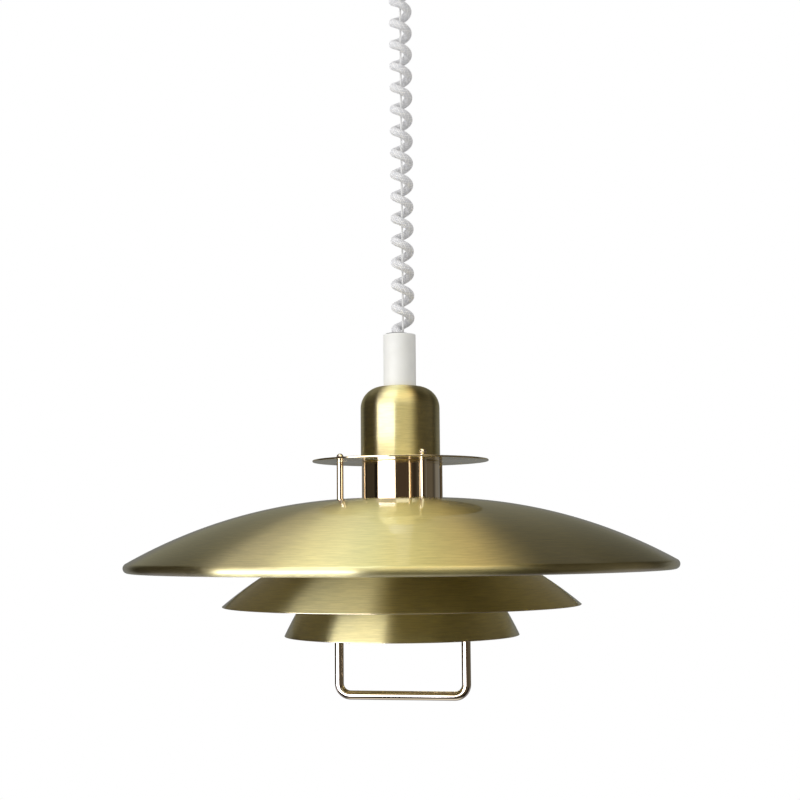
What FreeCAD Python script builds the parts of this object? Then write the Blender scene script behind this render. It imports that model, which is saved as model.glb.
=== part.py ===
import FreeCAD, Part
import math
import os
import Sketcher

# Rise and fall pendant. The origin is the middle of the ceiling face, +Z is up and the lamp's
# axis is Z. Everything is in millimetres. Three bodies move against each other: the ceiling unit,
# the spring reel inside it, and the lamp that hangs on the reel's wire.

V = FreeCAD.Vector
UP = V(0, 0, 1)

# ---------------------------------------------------------------- driving dimensions
SIZES = {
    # ceiling unit
    "cup_wide": 118.0, "cup_high": 92.0, "cup_wall": 1.6, "cup_round": 9.0,
    "bracket_inset": 7.0, "bracket_wide": 24.0, "bracket_thick": 2.0, "tab_deep": 14.0,
    "ceiling_hole_span": 88.0, "ceiling_hole_wide": 5.0,
    "cup_screw_drop": 8.0, "cup_screw_wide": 4.0, "cup_screw_past": 6.0, "screw_head_high": 2.4,
    "frame_long": 76.0, "frame_wide": 36.0, "frame_thick": 2.0, "frame_screw_at": 33.0,
    "cheek_wide": 26.4, "cheek_past_axle": 12.0, "frame_screw_head": 2.2,
    "supply_hole_wide": 12.0, "supply_hole_at": 14.0, "terminal_at": 7.0,
    "terminal_long": 22.0, "terminal_wide": 22.0, "terminal_high": 16.0, "pole_pitch": 7.5,
    "pole_bore": 4.6, "terminal_screw_wide": 4.0, "terminal_screw_long": 7.0,
    "terminal_screw_out": 3.0, "terminal_screw_gap": 0.1,
    "outlet_face": 7.5, "outlet_wide": 26.0, "outlet_neck": 20.0, "outlet_x": 5.0, "outlet_y": 3.5,
    "outlet_round": 3.0, "outlet_nut_wide": 30.0, "outlet_clamp_high": 6.0, "outlet_screw_y": 2.5,
    "clamp_split": 1.0, "clamp_screw_wide": 2.8,
    # reel
    "reel_drop": 44.0, "barrel_wide": 44.0, "flange_wide": 60.0, "drum_long": 26.0, "drum_wall": 2.0,
    "axle_wide": 8.0, "axle_long": 52.0, "arbor_wide": 14.0, "running_gap": 0.05,
    "brake_wide": 24.0, "brake_gap": 0.1, "spacer_gap": 0.2, "drum_shift": 1.0,
    "spring_thick": 0.8, "spring_clear": 0.5, "spring_turns": 6.0, "spring_gap": 0.3,
    "spring_side_gap": 1.0,
    "winding_turns": 4.0, "winding_pitch": 2.2,
    # wire and curly cord
    "wire_wide": 1.8, "wire_x": 3.4, "drop": 437.0, "wire_in_stop": 7.0, "stop_wide": 4.4,
    "stop_long": 8.0,
    "cord_wide": 7.5, "coil_wide": 14.0, "coil_turns": 15.7, "coil_end_angle": 215.0,
    "coil_end_rise": 3.55, "coil_bend": 7.5, "lead_wide": 5.0, "passage_gap": 0.3,
    # grip and the tube down the middle
    "grip_wide": 30.0, "grip_high": 48.6, "grip_mouth": 25.6, "grip_bore": 22.6, "grip_seat": 20.6,
    "plug_deep": 10.0, "bore_deep": 27.0, "grip_floor": 13.0, "gasket_wide": 22.0, "gasket_thick": 0.9,
    "gasket_x": 1.6, "gasket_y": 0.5, "grip_edge": 0.8, "grip_clamp_high": 7.0,
    "grip_clamp_gap": 0.2, "grip_screw_y": 4.5,
    "tube_wide": 10.0, "tube_bore": 6.6, "thread_gap": 0.05, "tube_below_floor": 2.0,
    "tube_in_holder": 8.0, "lead_above_floor": 0.5, "lead_above_core": 5.2, "lead_knee": 2.5,
    "nut_across": 14.0, "nut_thick": 4.0, "washer_wide": 22.0, "washer_thick": 1.0,
    # cap, collar and sleeve
    "cap_wide": 73.0, "cap_high": 67.9, "cap_shoulder": 20.0, "sheet_metal": 0.8,
    "collar_wide": 162.0, "collar_thick": 1.5, "collar_edge": 0.4, "sleeve_wide": 71.5, "sleeve_long": 42.0,
    # studs, nuts and spacers
    "stud_circle": 57.0, "stud_wide": 4.0, "spacer_wide": 6.3, "hole_gap": 0.2,
    "dome_nut_wide": 6.6, "dome_nut_high": 7.2, "small_nut_across": 7.0, "small_nut_thick": 3.2,
    "small_washer_wide": 9.0, "small_washer_thick": 0.8, "stud_tip": 1.5,
    # shades
    "shade_wall": 0.8, "crown_gap": 33.5, "middle_fall": 38.5, "lower_fall": 46.0,
    "outer_wide": 500.0, "outer_curve": 440.0, "outer_flat": 62.0, "outer_rim": 4.5, "sleeve_gap": 0.4,
    "ring_bore": 100.0,
    "middle_flange": 128.0, "middle_wide": 325.0, "middle_high": 57.9, "middle_curve": 340.0,
    "lower_flange": 124.0, "lower_shoulder": 40.0, "lower_wide": 213.0, "lower_high": 39.1,
    "lower_curve": 300.0,
    # handle
    "handle_span": 117.0, "handle_rod": 8.2, "handle_drop": 93.0, "handle_corner": 10.5,
    "handle_screw": 4.0, "handle_tap_deep": 12.0, "tap_left": 2.0,
    # lampholder
    "holder_gap": 1.2, "holder_wide": 40.0, "holder_cap_high": 24.0, "holder_skirt_high": 38.0,
    "holder_wall": 1.6, "lamp_thread": 26.8, "lamp_thread_long": 22.0, "shell_wall": 0.4,
    "holder_neck": 16.0, "holder_band": 8.0, "spigot_high": 5.0, "core_seat": 2.0,
    "core_nose": 5.5, "core_rim": 9.0, "core_recess": 26.0,
    "skirt_taper": 1.4, "skirt_chamfer": 2.0, "skirt_lip": 2.2, "skirt_seat": 1.8,
    "button_wide": 8.0, "button_deep": 2.5, "button_edge": 0.8,
    "button_tip": 4.8, "button_crown": 0.2, "finger_wide": 5.0, "finger_thick": 3.2, "finger_drop": 3.0,
    "finger_at": 9.5, "core_screw_wide": 5.0, "core_screw_high": 2.6,
}

doc = FreeCAD.newDocument("RiseAndFallPendant")
sheet = doc.addObject("Spreadsheet::Sheet", "Sizes")
for row, (name, number) in enumerate(SIZES.items(), start=1):
    sheet.set("A%d" % row, name)
    sheet.set("B%d" % row, str(number))
    sheet.setAlias("B%d" % row, name)
doc.recompute()


class Size:
    """A length as a formula of the sheet's cells, with the number that it gives."""

    def __init__(self, text, number):
        self.text = text
        self.number = float(number)

    def __add__(self, other):
        other = as_size(other)
        return Size("(%s + %s)" % (self.text, other.text), self.number + other.number)

    def __sub__(self, other):
        other = as_size(other)
        return Size("(%s - %s)" % (self.text, other.text), self.number - other.number)

    def __mul__(self, other):
        other = as_size(other)
        return Size("(%s * %s)" % (self.text, other.text), self.number * other.number)

    def __truediv__(self, other):
        other = as_size(other)
        return Size("(%s / %s)" % (self.text, other.text), self.number / other.number)

    def __neg__(self):
        return Size("(0 - %s)" % self.text, -self.number)

    def __radd__(self, other):
        return as_size(other) + self

    def __rsub__(self, other):
        return as_size(other) - self

    def __rmul__(self, other):
        return as_size(other) * self


def as_size(value):
    """The value as a Size; a plain number keeps its own digits."""
    return value if isinstance(value, Size) else Size("%.10g" % value, value)


def root(value):
    return Size("sqrt(%s)" % value.text, math.sqrt(value.number))


def given(name):
    """A driving dimension, read from the sheet."""
    return Size("Sizes.%s" % name, sheet.get(name))


S = {name: given(name) for name in SIZES}
parts = []


# ---------------------------------------------------------------- construction helpers
def keep(piece, label):
    """Names a finished sub-part and lists it for export."""
    piece.Label = label
    parts.append(piece)
    return piece


def place(piece, x=0.0, y=0.0, z=0.0):
    """Binds the piece's position to formulas."""
    for axis, value in (("x", x), ("y", y), ("z", z)):
        piece.setExpression("Placement.Base." + axis, as_size(value).text)
    piece.Placement.Base = V(as_size(x).number, as_size(y).number, as_size(z).number)
    return piece


def origin_part(body, role):
    return [item for item in body.Origin.OriginFeatures if item.Role == role][0]


def new_sketch(body, plane):
    sketch = body.newObject("Sketcher::SketchObject", "Outline")
    sketch.AttachmentSupport = [(origin_part(body, plane), "")]
    sketch.MapMode = "FlatFace"
    return sketch


def pin_point(sketch, edge, end, x, y):
    """Fixes one end of an edge at formulas x and y, or on an axis where they are plain zero."""
    for kind, axis, value in (("DistanceX", -2, x), ("DistanceY", -1, y)):
        value = as_size(value)
        if value.text == "0":
            sketch.addConstraint(Sketcher.Constraint("PointOnObject", edge, end, axis))
        else:
            index = sketch.addConstraint(Sketcher.Constraint(kind, -1, 1, edge, end, value.number))
            sketch.setExpression("Constraints[%d]" % index, value.text)


def arc_between(start, end, radius, turn):
    """A circular edge; turn is 1 to the left and -1 to the right on the way to end."""
    middle = (start + end) * 0.5
    across = end - start
    height = math.sqrt(max(radius * radius - across.Length ** 2 / 4, 0.0))
    centre = middle + V(-across.y, across.x, 0).normalize() * (turn * height)
    first, last = (start, end) if turn > 0 else (end, start)
    angles = [math.atan2(point.y - centre.y, point.x - centre.x) for point in (first, last)]
    return Part.ArcOfCircle(Part.Circle(centre, UP, radius), angles[0], angles[1])


def draw_outline(sketch, corners):
    """Draws a closed outline. A corner is (x, y), or (x, y, radius, turn) where the edge that
    leaves it is an arc."""
    points = [V(as_size(c[0]).number, as_size(c[1]).number, 0) for c in corners]
    ends = []
    for index, corner in enumerate(corners):
        start, end = points[index], points[(index + 1) % len(points)]
        if len(corner) == 2:
            sketch.addGeometry(Part.LineSegment(start, end), False)
            ends.append((1, 2))
        else:
            radius, turn = as_size(corner[2]), corner[3]
            sketch.addGeometry(arc_between(start, end, radius.number, turn), False)
            ends.append((1, 2) if turn > 0 else (2, 1))
            bound = sketch.addConstraint(Sketcher.Constraint("Radius", index, radius.number))
            sketch.setExpression("Constraints[%d]" % bound, radius.text)
    for index, corner in enumerate(corners):
        following = (index + 1) % len(corners)
        sketch.addConstraint(
            Sketcher.Constraint("Coincident", index, ends[index][1], following, ends[following][0]))
        pin_point(sketch, index, ends[index][0], corner[0], corner[1])


def turned(name, corners, x=0.0, y=0.0, z=0.0, plane="XZ_Plane"):
    """A body turned about Z from its half section, or about Y where the plane is XY_Plane."""
    body = doc.addObject("PartDesign::Body", name)
    sketch = new_sketch(body, plane)
    draw_outline(sketch, corners)
    doc.recompute()
    turning = body.newObject("PartDesign::Revolution", name + "_turning")
    turning.Profile = sketch
    turning.ReferenceAxis = (sketch, ["V_Axis"])
    turning.Angle = 360
    doc.recompute()
    return place(body, x, y, z)


def tube(name, outer, inner, low, high, x=0.0, y=0.0, z=0.0, plane="XZ_Plane"):
    """A plain ring or tube from its outer and inner diameters."""
    outside, inside = outer / 2, inner / 2
    corners = [(inside, low), (outside, low), (outside, high), (inside, high)]
    return turned(name, corners, x, y, z, plane)


def drilled(body, x, y, wide, count=1, plane="XY_Plane"):
    """Through holes, one or a ring of them about Z."""
    sketch = new_sketch(body, plane)
    x, y, radius = as_size(x), as_size(y), as_size(wide) / 2
    sketch.addGeometry(Part.Circle(V(x.number, y.number, 0), UP, radius.number), False)
    bound = sketch.addConstraint(Sketcher.Constraint("Radius", 0, radius.number))
    sketch.setExpression("Constraints[%d]" % bound, radius.text)
    pin_point(sketch, 0, 3, x, y)
    doc.recompute()
    pocket = body.newObject("PartDesign::Pocket", body.Name + "_hole")
    pocket.Profile = sketch
    pocket.SideType = "Symmetric"
    pocket.Type = "ThroughAll"
    if count > 1:
        doc.recompute()
        ring = body.newObject("PartDesign::PolarPattern", body.Name + "_holes")
        ring.Originals = [pocket]
        ring.Axis = (origin_part(body, "Z_Axis"), [""])
        ring.Angle = 360
        ring.Occurrences = count
        body.Tip = ring
    doc.recompute()
    return body


def block(name, long, wide, high, x, y, z):
    """A box with its low corner at x, y, z."""
    box = doc.addObject("Part::Box", name)
    for key, value in (("Length", long), ("Width", wide), ("Height", high)):
        box.setExpression(key, as_size(value).text)
    return place(box, x, y, z)


def rod(name, wide, long, x, y, z, direction=UP):
    """A cylinder from x, y, z along the direction."""
    cylinder = doc.addObject("Part::Cylinder", name)
    cylinder.setExpression("Radius", (as_size(wide) / 2).text)
    cylinder.setExpression("Height", as_size(long).text)
    cylinder.Placement.Rotation = FreeCAD.Rotation(UP, direction)
    return place(cylinder, x, y, z)


def hexagon(name, across, high, x=0.0, y=0.0, z=0.0):
    """A hexagonal prism given by its width across flats."""
    prism = doc.addObject("Part::Prism", name)
    prism.Polygon = 6
    prism.setExpression("Circumradius", (across / math.sqrt(3.0)).text)
    prism.setExpression("Height", as_size(high).text)
    return place(prism, x, y, z)


def cut(name, base, *tools):
    """The base without the tools."""
    for index, tool in enumerate(tools):
        step = doc.addObject("Part::Cut", "%s_cut%d" % (name, index))
        step.Base = base
        step.Tool = tool
        base = step
    doc.recompute()
    return base


def fused(name, *pieces):
    union = doc.addObject("Part::MultiFuse", name)
    union.Shapes = list(pieces)
    union.Refine = True
    doc.recompute()
    return union


def shaped(name, shape, x=0.0, y=0.0, z=0.0):
    """A feature that holds a ready shape."""
    feature = doc.addObject("Part::Feature", name)
    feature.Shape = shape
    feature.Placement.Base = V(x, y, z)
    return feature


def group(name, pieces):
    """Separate solids that share one sub-part."""
    return shaped(name, Part.makeCompound([piece.copy() for piece in pieces]))


def ring_of(name, piece, count=3):
    """Copies of one piece, evenly spaced about Z."""
    doc.recompute()
    copies = []
    for index in range(count):
        copy = piece.Shape.copy()
        copy.rotate(V(0, 0, 0), UP, 360.0 * index / count)
        copies.append(copy)
    return group(name, copies)


def spots(name, piece, places):
    """Copies of one piece, moved to each place."""
    doc.recompute()
    copies = []
    for spot in places:
        copy = piece.Shape.copy()
        copy.translate(V(*[as_size(value).number for value in spot]))
        copies.append(copy)
    return group(name, copies)


def offset_inward(corner, centre, radius, depth):
    """A corner moved by depth towards the centre of its arc."""
    return tuple(corner[i] + (centre[i] - corner[i]) * (depth / radius) for i in (0, 1))


def right_arc_centre(start, end, radius):
    """The centre of an arc that turns right on its way from start to end."""
    across = (end[0] - start[0], end[1] - start[1])
    length = root(across[0] * across[0] + across[1] * across[1])
    height = root(radius * radius - length * length / 4)
    return ((start[0] + end[0]) / 2 + across[1] / length * height,
            (start[1] + end[1]) / 2 - across[0] / length * height)


# ---------------------------------------------------------------- paths of wires and cords
def tangent_arc(start, heading, end):
    """An arc that leaves start along heading and reaches end."""
    across = end - start
    chord = V(across).normalize()
    swing = heading.getAngle(chord)
    if swing < 1e-6:
        return Part.LineSegment(start, end)
    lean = (V(heading).normalize() + chord).normalize()
    return Part.Arc(start, start + lean * (across.Length / 2 / math.cos(swing / 2)), end)


def biarc(start, start_heading, end, end_heading):
    """Two arcs that join the points and headings smoothly."""
    across = end - start
    headings = start_heading + end_heading
    bend = 2 * (1 - start_heading.dot(end_heading))
    along = across.dot(headings)
    reach = (math.sqrt(along * along + bend * across.dot(across)) - along) / bend
    joint = (start + end + (start_heading - end_heading) * reach) * 0.5
    backward = tangent_arc(end, end_heading * -1, joint)
    second = Part.Arc(joint, backward.value(
        (backward.FirstParameter + backward.LastParameter) / 2), end)
    return [tangent_arc(start, start_heading, joint), second]


def helix_span(point_at, first, last):
    """Biarcs, one pair for each quarter turn, along point_at(turns) -> point and heading."""
    count = max(1, math.ceil(abs(last - first) * 4))
    curves = []
    for index in range(count):
        low = first + (last - first) * index / count
        high = first + (last - first) * (index + 1) / count
        curves += biarc(*point_at(low), *point_at(high))
    return curves


def rounded_run(points):
    """Straight runs joined by tangent arcs, each as large as its two runs allow."""
    curves = []
    here = points[0]
    for before, corner, after in zip(points, points[1:], points[2:]):
        inward, outward = (corner - before), (after - corner)
        turn = inward.getAngle(outward)
        shorter = min(inward.Length, outward.Length)
        radius = 0.45 * shorter / math.tan(turn / 2)
        back = radius * math.tan(turn / 2)
        start = corner - V(inward).normalize() * back
        end = corner + V(outward).normalize() * back
        curves.append(Part.LineSegment(here, start))
        curves.append(tangent_arc(start, V(inward).normalize(), end))
        here = end
    curves.append(Part.LineSegment(here, points[-1]))
    return curves


def wire_tube(curves, wide):
    """A round tube along a chain of lines and arcs."""
    path = Part.Wire([curve.toShape() for curve in curves])
    start = path.Edges[0]
    heading = start.tangentAt(start.FirstParameter)
    ring = Part.Wire([Part.Circle(start.valueAt(start.FirstParameter), heading, wide / 2).toShape()])
    sweep = Part.BRepOffsetAPI.MakePipeShell(path)
    sweep.add(ring)
    sweep.build()
    sweep.makeSolid()
    return sweep.shape()


# ---------------------------------------------------------------- levels, from the ceiling down
cup_floor = -S["cup_high"]
outlet_low = cup_floor - S["outlet_face"]
bracket_long = S["cup_wide"] - S["bracket_inset"] * 2
reel_level = -S["reel_drop"]
grip_top = -S["drop"]
cap_top = grip_top - S["grip_high"]
collar_top = cap_top - S["cap_high"]
collar_low = collar_top - S["collar_thick"]
outer_top = collar_low - S["crown_gap"]
middle_top = outer_top - S["middle_fall"]
lower_top = middle_top - S["lower_fall"]
handle_top = lower_top - S["shade_wall"]
sleeve_inner_top = collar_low - S["sheet_metal"]
holder_top = sleeve_inner_top - S["washer_thick"] - S["nut_thick"] - S["holder_gap"]
skirt_top = holder_top - S["holder_cap_high"]
tube_hole = S["tube_wide"] + S["thread_gap"] * 2
stud_hole = S["stud_wide"] + S["hole_gap"] * 2
spacer_bore = S["stud_wide"] + S["hole_gap"]
stud_x = -S["stud_circle"]
# a screw head against its shank, the dome nut's neck, bore and stud against its ball and height,
# and how much thicker a leaning sheet is when it is measured upright
head_share, neck_share, bore_share, stud_share, lean_share = 1.75, 0.86, 0.6, 0.55, 1.01

# the curly cord's helix, as plain numbers for its path
wire_at = V(S["wire_x"].number, 0, 0)
coil_radius = S["coil_wide"].number / 2
coil_low = (grip_top + S["coil_end_rise"]).number
coil_high = (outlet_low - S["coil_end_rise"]).number
coil_turns = S["coil_turns"].number
coil_pitch = (coil_high - coil_low) / coil_turns
coil_slope = math.atan2(coil_pitch, 2 * math.pi * coil_radius)


def coil_point(turns):
    """The point and the upward heading after a number of left-handed turns from the bottom."""
    angle = math.radians(S["coil_end_angle"].number) - 2 * math.pi * turns
    spot = wire_at + V(coil_radius * math.cos(angle), coil_radius * math.sin(angle),
                       coil_low + coil_pitch * turns)
    level = V(math.sin(angle), -math.cos(angle), 0)
    return spot, (level * math.cos(coil_slope) + UP * math.sin(coil_slope)).normalize()


def coil_tail(turns, upward):
    """Where the bend that leaves the helix has turned the cord upright."""
    spot, heading = coil_point(turns)
    level = V(heading.x, heading.y, 0).normalize() * upward
    reach = S["coil_bend"].number
    return (spot + level * (reach * (1 - math.sin(coil_slope)))
            + UP * (upward * reach * math.cos(coil_slope)))


low_tail = coil_tail(0, -1)
high_tail = coil_tail(coil_turns, 1)
low_tail_end = V(low_tail.x, low_tail.y, (grip_top - S["bore_deep"]).number)
high_tail_end = V(high_tail.x, high_tail.y, (cup_floor + S["outlet_face"] * 2 + 1).number)


def coil_curves(first=0.0, last=None):
    """The cord's path: tail, bend, helix, bend, tail; or one end of it up to a few turns."""
    last = coil_turns if last is None else last
    curves = []
    if first == 0.0:
        bottom, heading = coil_point(0)
        curves += [Part.LineSegment(low_tail_end, low_tail), tangent_arc(low_tail, UP, bottom)]
    curves += helix_span(coil_point, first, last)
    if last == coil_turns:
        top, heading = coil_point(coil_turns)
        curves += [tangent_arc(top, heading, high_tail), Part.LineSegment(high_tail, high_tail_end)]
    return curves


def cord_passage(name, at_grip):
    """The clear way of the cord through a cover, a little wider than the cord."""
    wide = (S["cord_wide"] + S["passage_gap"] * 2).number
    quarter = 0.25
    span = (0.0, quarter) if at_grip else (coil_turns - quarter, coil_turns)
    return shaped(name, wire_tube(coil_curves(*span), wide))


# ---------------------------------------------------------------- ceiling unit
def make_bracket():
    long, wide, thick = bracket_long, S["bracket_wide"], S["bracket_thick"]
    plate = block("bracket_plate", long, wide, thick, -long / 2, -wide / 2, -thick)
    tabs = [block("bracket_tab%d" % side, thick, wide, S["tab_deep"],
                  long / 2 * side - thick * (side + 1) / 2, -wide / 2, -S["tab_deep"])
            for side in (-1, 1)]
    holes = [rod("bracket_hole%d" % side, S["ceiling_hole_wide"], thick * 3,
                 S["ceiling_hole_span"] / 2 * side, 0, -thick * 2) for side in (-1, 1)]
    supply = rod("bracket_supply", S["supply_hole_wide"], thick * 3, -S["supply_hole_at"], 0,
                 -thick * 2)
    taps = rod("bracket_taps", S["cup_screw_wide"] + S["thread_gap"] * 2, long * 1.5,
               -long * 0.75, 0, -S["cup_screw_drop"], V(1, 0, 0))
    fixings = [rod("bracket_fixing%d" % side, stud_hole, thick * 3, S["frame_screw_at"] * side, 0,
                   -thick * 2) for side in (-1, 1)]
    whole = fused("bracket_metal", plate, *tabs)
    keep(cut("bracket", whole, *holes, supply, taps, *fixings), "ceiling_bracket")


def make_cup():
    outer, wall, bend = S["cup_wide"] / 2, S["cup_wall"], S["cup_round"]
    low = cup_floor
    cup = turned("cup", [(0, low), (outer - bend, low, bend, 1), (outer, low + bend), (outer, 0),
                         (outer - wall, 0), (outer - wall, low + bend, bend - wall, -1),
                         (outer - bend, low + wall), (0, low + wall)])
    drilled(cup, S["outlet_x"], -S["outlet_y"], S["outlet_neck"] + S["hole_gap"])
    drilled(cup, 0, -S["cup_screw_drop"], S["cup_screw_wide"] + S["hole_gap"] * 2,
            plane="YZ_Plane")
    keep(cup, "ceiling_cup")
    head, shank = S["cup_screw_wide"] * 2, S["bracket_inset"] + S["cup_screw_past"]
    screws = []
    for side in (-1, 1):
        stem = rod("cup_screw_stem%d" % side, S["cup_screw_wide"], shank,
                   S["cup_wide"] / 2 * side, 0, -S["cup_screw_drop"], V(-side, 0, 0))
        cap = rod("cup_screw_head%d" % side, head, S["screw_head_high"], S["cup_wide"] / 2 * side,
                  0, -S["cup_screw_drop"], V(side, 0, 0))
        screws.append(fused("cup_screw%d" % side, stem, cap).Shape)
    keep(group("cup_screw_pair", screws), "cup_screws")


def make_outlet():
    x, y, wide, neck = S["outlet_x"], -S["outlet_y"], S["outlet_wide"], S["outlet_neck"]
    low, round_edge = -S["outlet_face"], S["outlet_round"]
    bush = turned("outlet", [(0, low), (wide / 2 - round_edge, low, round_edge, 1),
                             (wide / 2, low + round_edge), (wide / 2, 0), (neck / 2, 0),
                             (neck / 2, S["outlet_face"]), (0, S["outlet_face"])], x, y, cup_floor)
    wire_way = rod("outlet_wire_way", S["wire_wide"] + S["hole_gap"] * 3, S["outlet_face"] * 3,
                   S["wire_x"], 0, cup_floor - S["outlet_face"] * 1.5)
    keep(cut("outlet_bush", bush, cord_passage("outlet_cord_way", False), wire_way),
         "cord_outlet_bush")
    nut = tube("outlet_nut", S["outlet_nut_wide"], neck + S["thread_gap"] * 2, 0, S["nut_thick"], x, y,
               cup_floor + S["cup_wall"])
    keep(nut, "outlet_nut")


def clamp(name, wide, x, y, level, high, cord_spot, screw_y):
    """Two jaws round a cord with one cross screw; level is their lower face."""
    disc = rod(name + "_disc", wide, high, x, y, level)
    way = rod(name + "_way", S["cord_wide"] + S["thread_gap"] * 2, high * 3, cord_spot.x,
              cord_spot.y, level - high)
    gap = S["clamp_split"]
    split = block(name + "_split", gap, wide * 2, high * 3, cord_spot.x - gap / 2, y - wide,
                  level - high)
    wire_way = rod(name + "_wire_way", S["wire_wide"] * 3, high * 3, S["wire_x"], 0, level - high)
    screw_wide = S["clamp_screw_wide"]
    hole = rod(name + "_hole", screw_wide + S["thread_gap"] * 2, wide * 2, x - wide, screw_y,
               level + high / 2, V(1, 0, 0))
    keep(cut(name, disc, way, split, wire_way, hole), name + "_jaws")
    shorter = wide / 2
    screw = rod(name + "_screw", screw_wide, shorter, cord_spot.x - shorter / 2, screw_y,
                level + high / 2, V(1, 0, 0))
    keep(screw, name + "_screw")


def make_reel_frame():
    long, wide, thick = S["frame_long"], S["frame_wide"], S["frame_thick"]
    top = -S["bracket_thick"]
    reel_x = S["wire_x"] - S["barrel_wide"] / 2 - S["wire_wide"] / 2 - S["running_gap"]
    plate = block("frame_plate", long, wide, thick, -long / 2, -wide / 2, top - thick)
    cheek_wide, deep = S["cheek_wide"], S["reel_drop"] + S["cheek_past_axle"]
    cheeks = [block("frame_cheek%d" % side, cheek_wide, thick, deep, reel_x - cheek_wide / 2,
                    wide / 2 * side - thick * (side + 1) / 2, -deep + top) for side in (-1, 1)]
    axle_way = rod("frame_axle_way", S["axle_wide"] + S["thread_gap"] * 2, wide * 2, reel_x, wide,
                   reel_level, V(0, -1, 0))
    supply = rod("frame_supply", S["supply_hole_wide"], thick * 4, -S["supply_hole_at"], 0,
                 top - thick * 2)
    fixings = [rod("frame_fixing%d" % side, stud_hole, thick * 3, S["frame_screw_at"] * side, 0,
                   top - thick * 2) for side in (-1, 1)]
    metal = fused("frame_metal", plate, *cheeks)
    keep(cut("reel_frame", metal, axle_way, supply, *fixings), "reel_frame")
    high = S["frame_screw_head"]
    head = rod("frame_screw_head", S["stud_wide"] * head_share, high, 0, 0, top - thick - high)
    stem = rod("frame_screw_stem", S["stud_wide"], thick + S["bracket_thick"], 0, 0, top - thick)
    screw = fused("frame_screw", head, stem)
    keep(spots("frame_screw_pair", screw, [(S["frame_screw_at"] * side, 0, 0) for side in (-1, 1)]),
         "frame_screws")
    return reel_x


def make_axle(reel_x):
    long, wide = S["axle_long"], S["axle_wide"]
    keep(rod("axle", wide, long, reel_x, long / 2, reel_level, V(0, -1, 0)), "reel_axle")
    side = S["frame_wide"] / 2
    nuts = []
    for sign in (-1, 1):
        prism = hexagon("axle_nut%d" % sign, S["nut_across"], S["nut_thick"], reel_x, side * sign,
                        reel_level)
        prism.Placement.Rotation = FreeCAD.Rotation(UP, V(0, sign, 0))
        way = rod("axle_nut_way%d" % sign, wide + S["thread_gap"] * 2, long * 2, reel_x, long,
                  reel_level, V(0, -1, 0))
        nuts.append(cut("axle_nut_ring%d" % sign, prism, way).Shape)
    keep(group("axle_nut_pair", nuts), "axle_nuts")
    cheek = side - S["frame_thick"]
    drum = S["drum_long"] / 2
    shift = S["drum_shift"]
    keep(tube("brake", S["brake_wide"], wide + S["thread_gap"] * 2, -cheek,
              -drum - shift - S["brake_gap"], reel_x, 0, reel_level, "XY_Plane"), "brake_washer")
    keep(tube("spacer", S["arbor_wide"], wide + S["thread_gap"] * 2,
              drum - shift + S["spacer_gap"], cheek, reel_x, 0, reel_level, "XY_Plane"),
         "axle_spacer")
    keep(tube("arbor", S["arbor_wide"], wide + S["thread_gap"] * 2, -drum + S["drum_wall"],
              drum - S["drum_wall"] * 2, reel_x, 0, reel_level, "XY_Plane"), "spring_arbor")


def make_drum(reel_x):
    """The wire's drum: a web, a barrel and, as its second flange, the cover."""
    wall, half = S["drum_wall"], S["drum_long"] / 2
    bore = S["axle_wide"] / 2 + S["running_gap"]
    barrel, flange = S["barrel_wide"] / 2, S["flange_wide"] / 2
    back, front = -half - S["drum_shift"], half - S["drum_shift"]
    drum = turned("drum", [(bore, back), (flange, back), (flange, back + wall), (barrel, back + wall),
                           (barrel, front - wall), (barrel - wall, front - wall),
                           (barrel - wall, back + wall), (bore, back + wall)],
                  reel_x, 0, reel_level, "XY_Plane")
    keep(drum, "wire_drum")
    keep(tube("cover", S["flange_wide"], bore * 2, front - wall, front, reel_x, 0, reel_level,
              "XY_Plane"), "drum_cover")
    thick, inner = S["spring_thick"].number, (S["arbor_wide"] / 2 + S["spring_clear"]).number
    pitch = ((barrel - wall - S["spring_gap"]).number - inner - thick) / S["spring_turns"].number
    edges = []
    for step in range(int(S["spring_turns"].number * 2)):
        centre = V(pitch / 2 if step % 2 else 0, 0, 0)
        radius = inner + pitch / 2 * step
        side = 1 if step % 2 == 0 else -1
        for grown in (0, thick):
            reach = radius + grown
            edges.append(Part.Arc(centre + V(side * reach, 0, 0), centre + V(0, 0, side * reach),
                                  centre - V(side * reach, 0, 0)).toShape())
    outer = centre.x + reach
    edges.append(Part.makeLine(V(inner, 0, 0), V(inner + thick, 0, 0)))
    edges.append(Part.makeLine(V(outer - thick, 0, 0), V(outer, 0, 0)))
    strip = Part.Face(Part.Wire(Part.__sortEdges__(edges)))
    side_gap = S["spring_side_gap"]
    width = (front - back - wall * 2 - side_gap * 2).number
    spring = strip.extrude(V(0, width, 0))
    keep(shaped("spring", spring, reel_x.number, (back + wall + side_gap).number, reel_level.number),
         "power_spring")


def make_winding(reel_x):
    """The turns of wire on the drum, ending upright above the lamp."""
    radius = (S["barrel_wide"] / 2 + S["wire_wide"] / 2 + S["running_gap"]).number
    pitch, turns = S["winding_pitch"].number, S["winding_turns"].number
    centre = V(reel_x.number, 0, reel_level.number)

    def winding_point(done):
        angle = 2 * math.pi * done
        spot = centre + V(radius * math.cos(angle), -pitch * done, radius * math.sin(angle))
        heading = V(-math.sin(angle), 0, math.cos(angle))
        if done > 0:
            heading.y = -pitch / (2 * math.pi * radius)
        return spot, heading.normalize()

    start = winding_point(0)[0]
    below = start - UP * S["wire_wide"].number
    curves = [Part.LineSegment(below, start)] + helix_span(winding_point, 0, turns)
    keep(shaped("winding", wire_tube(curves, S["wire_wide"].number)), "wire_winding")
    return below.z


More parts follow.
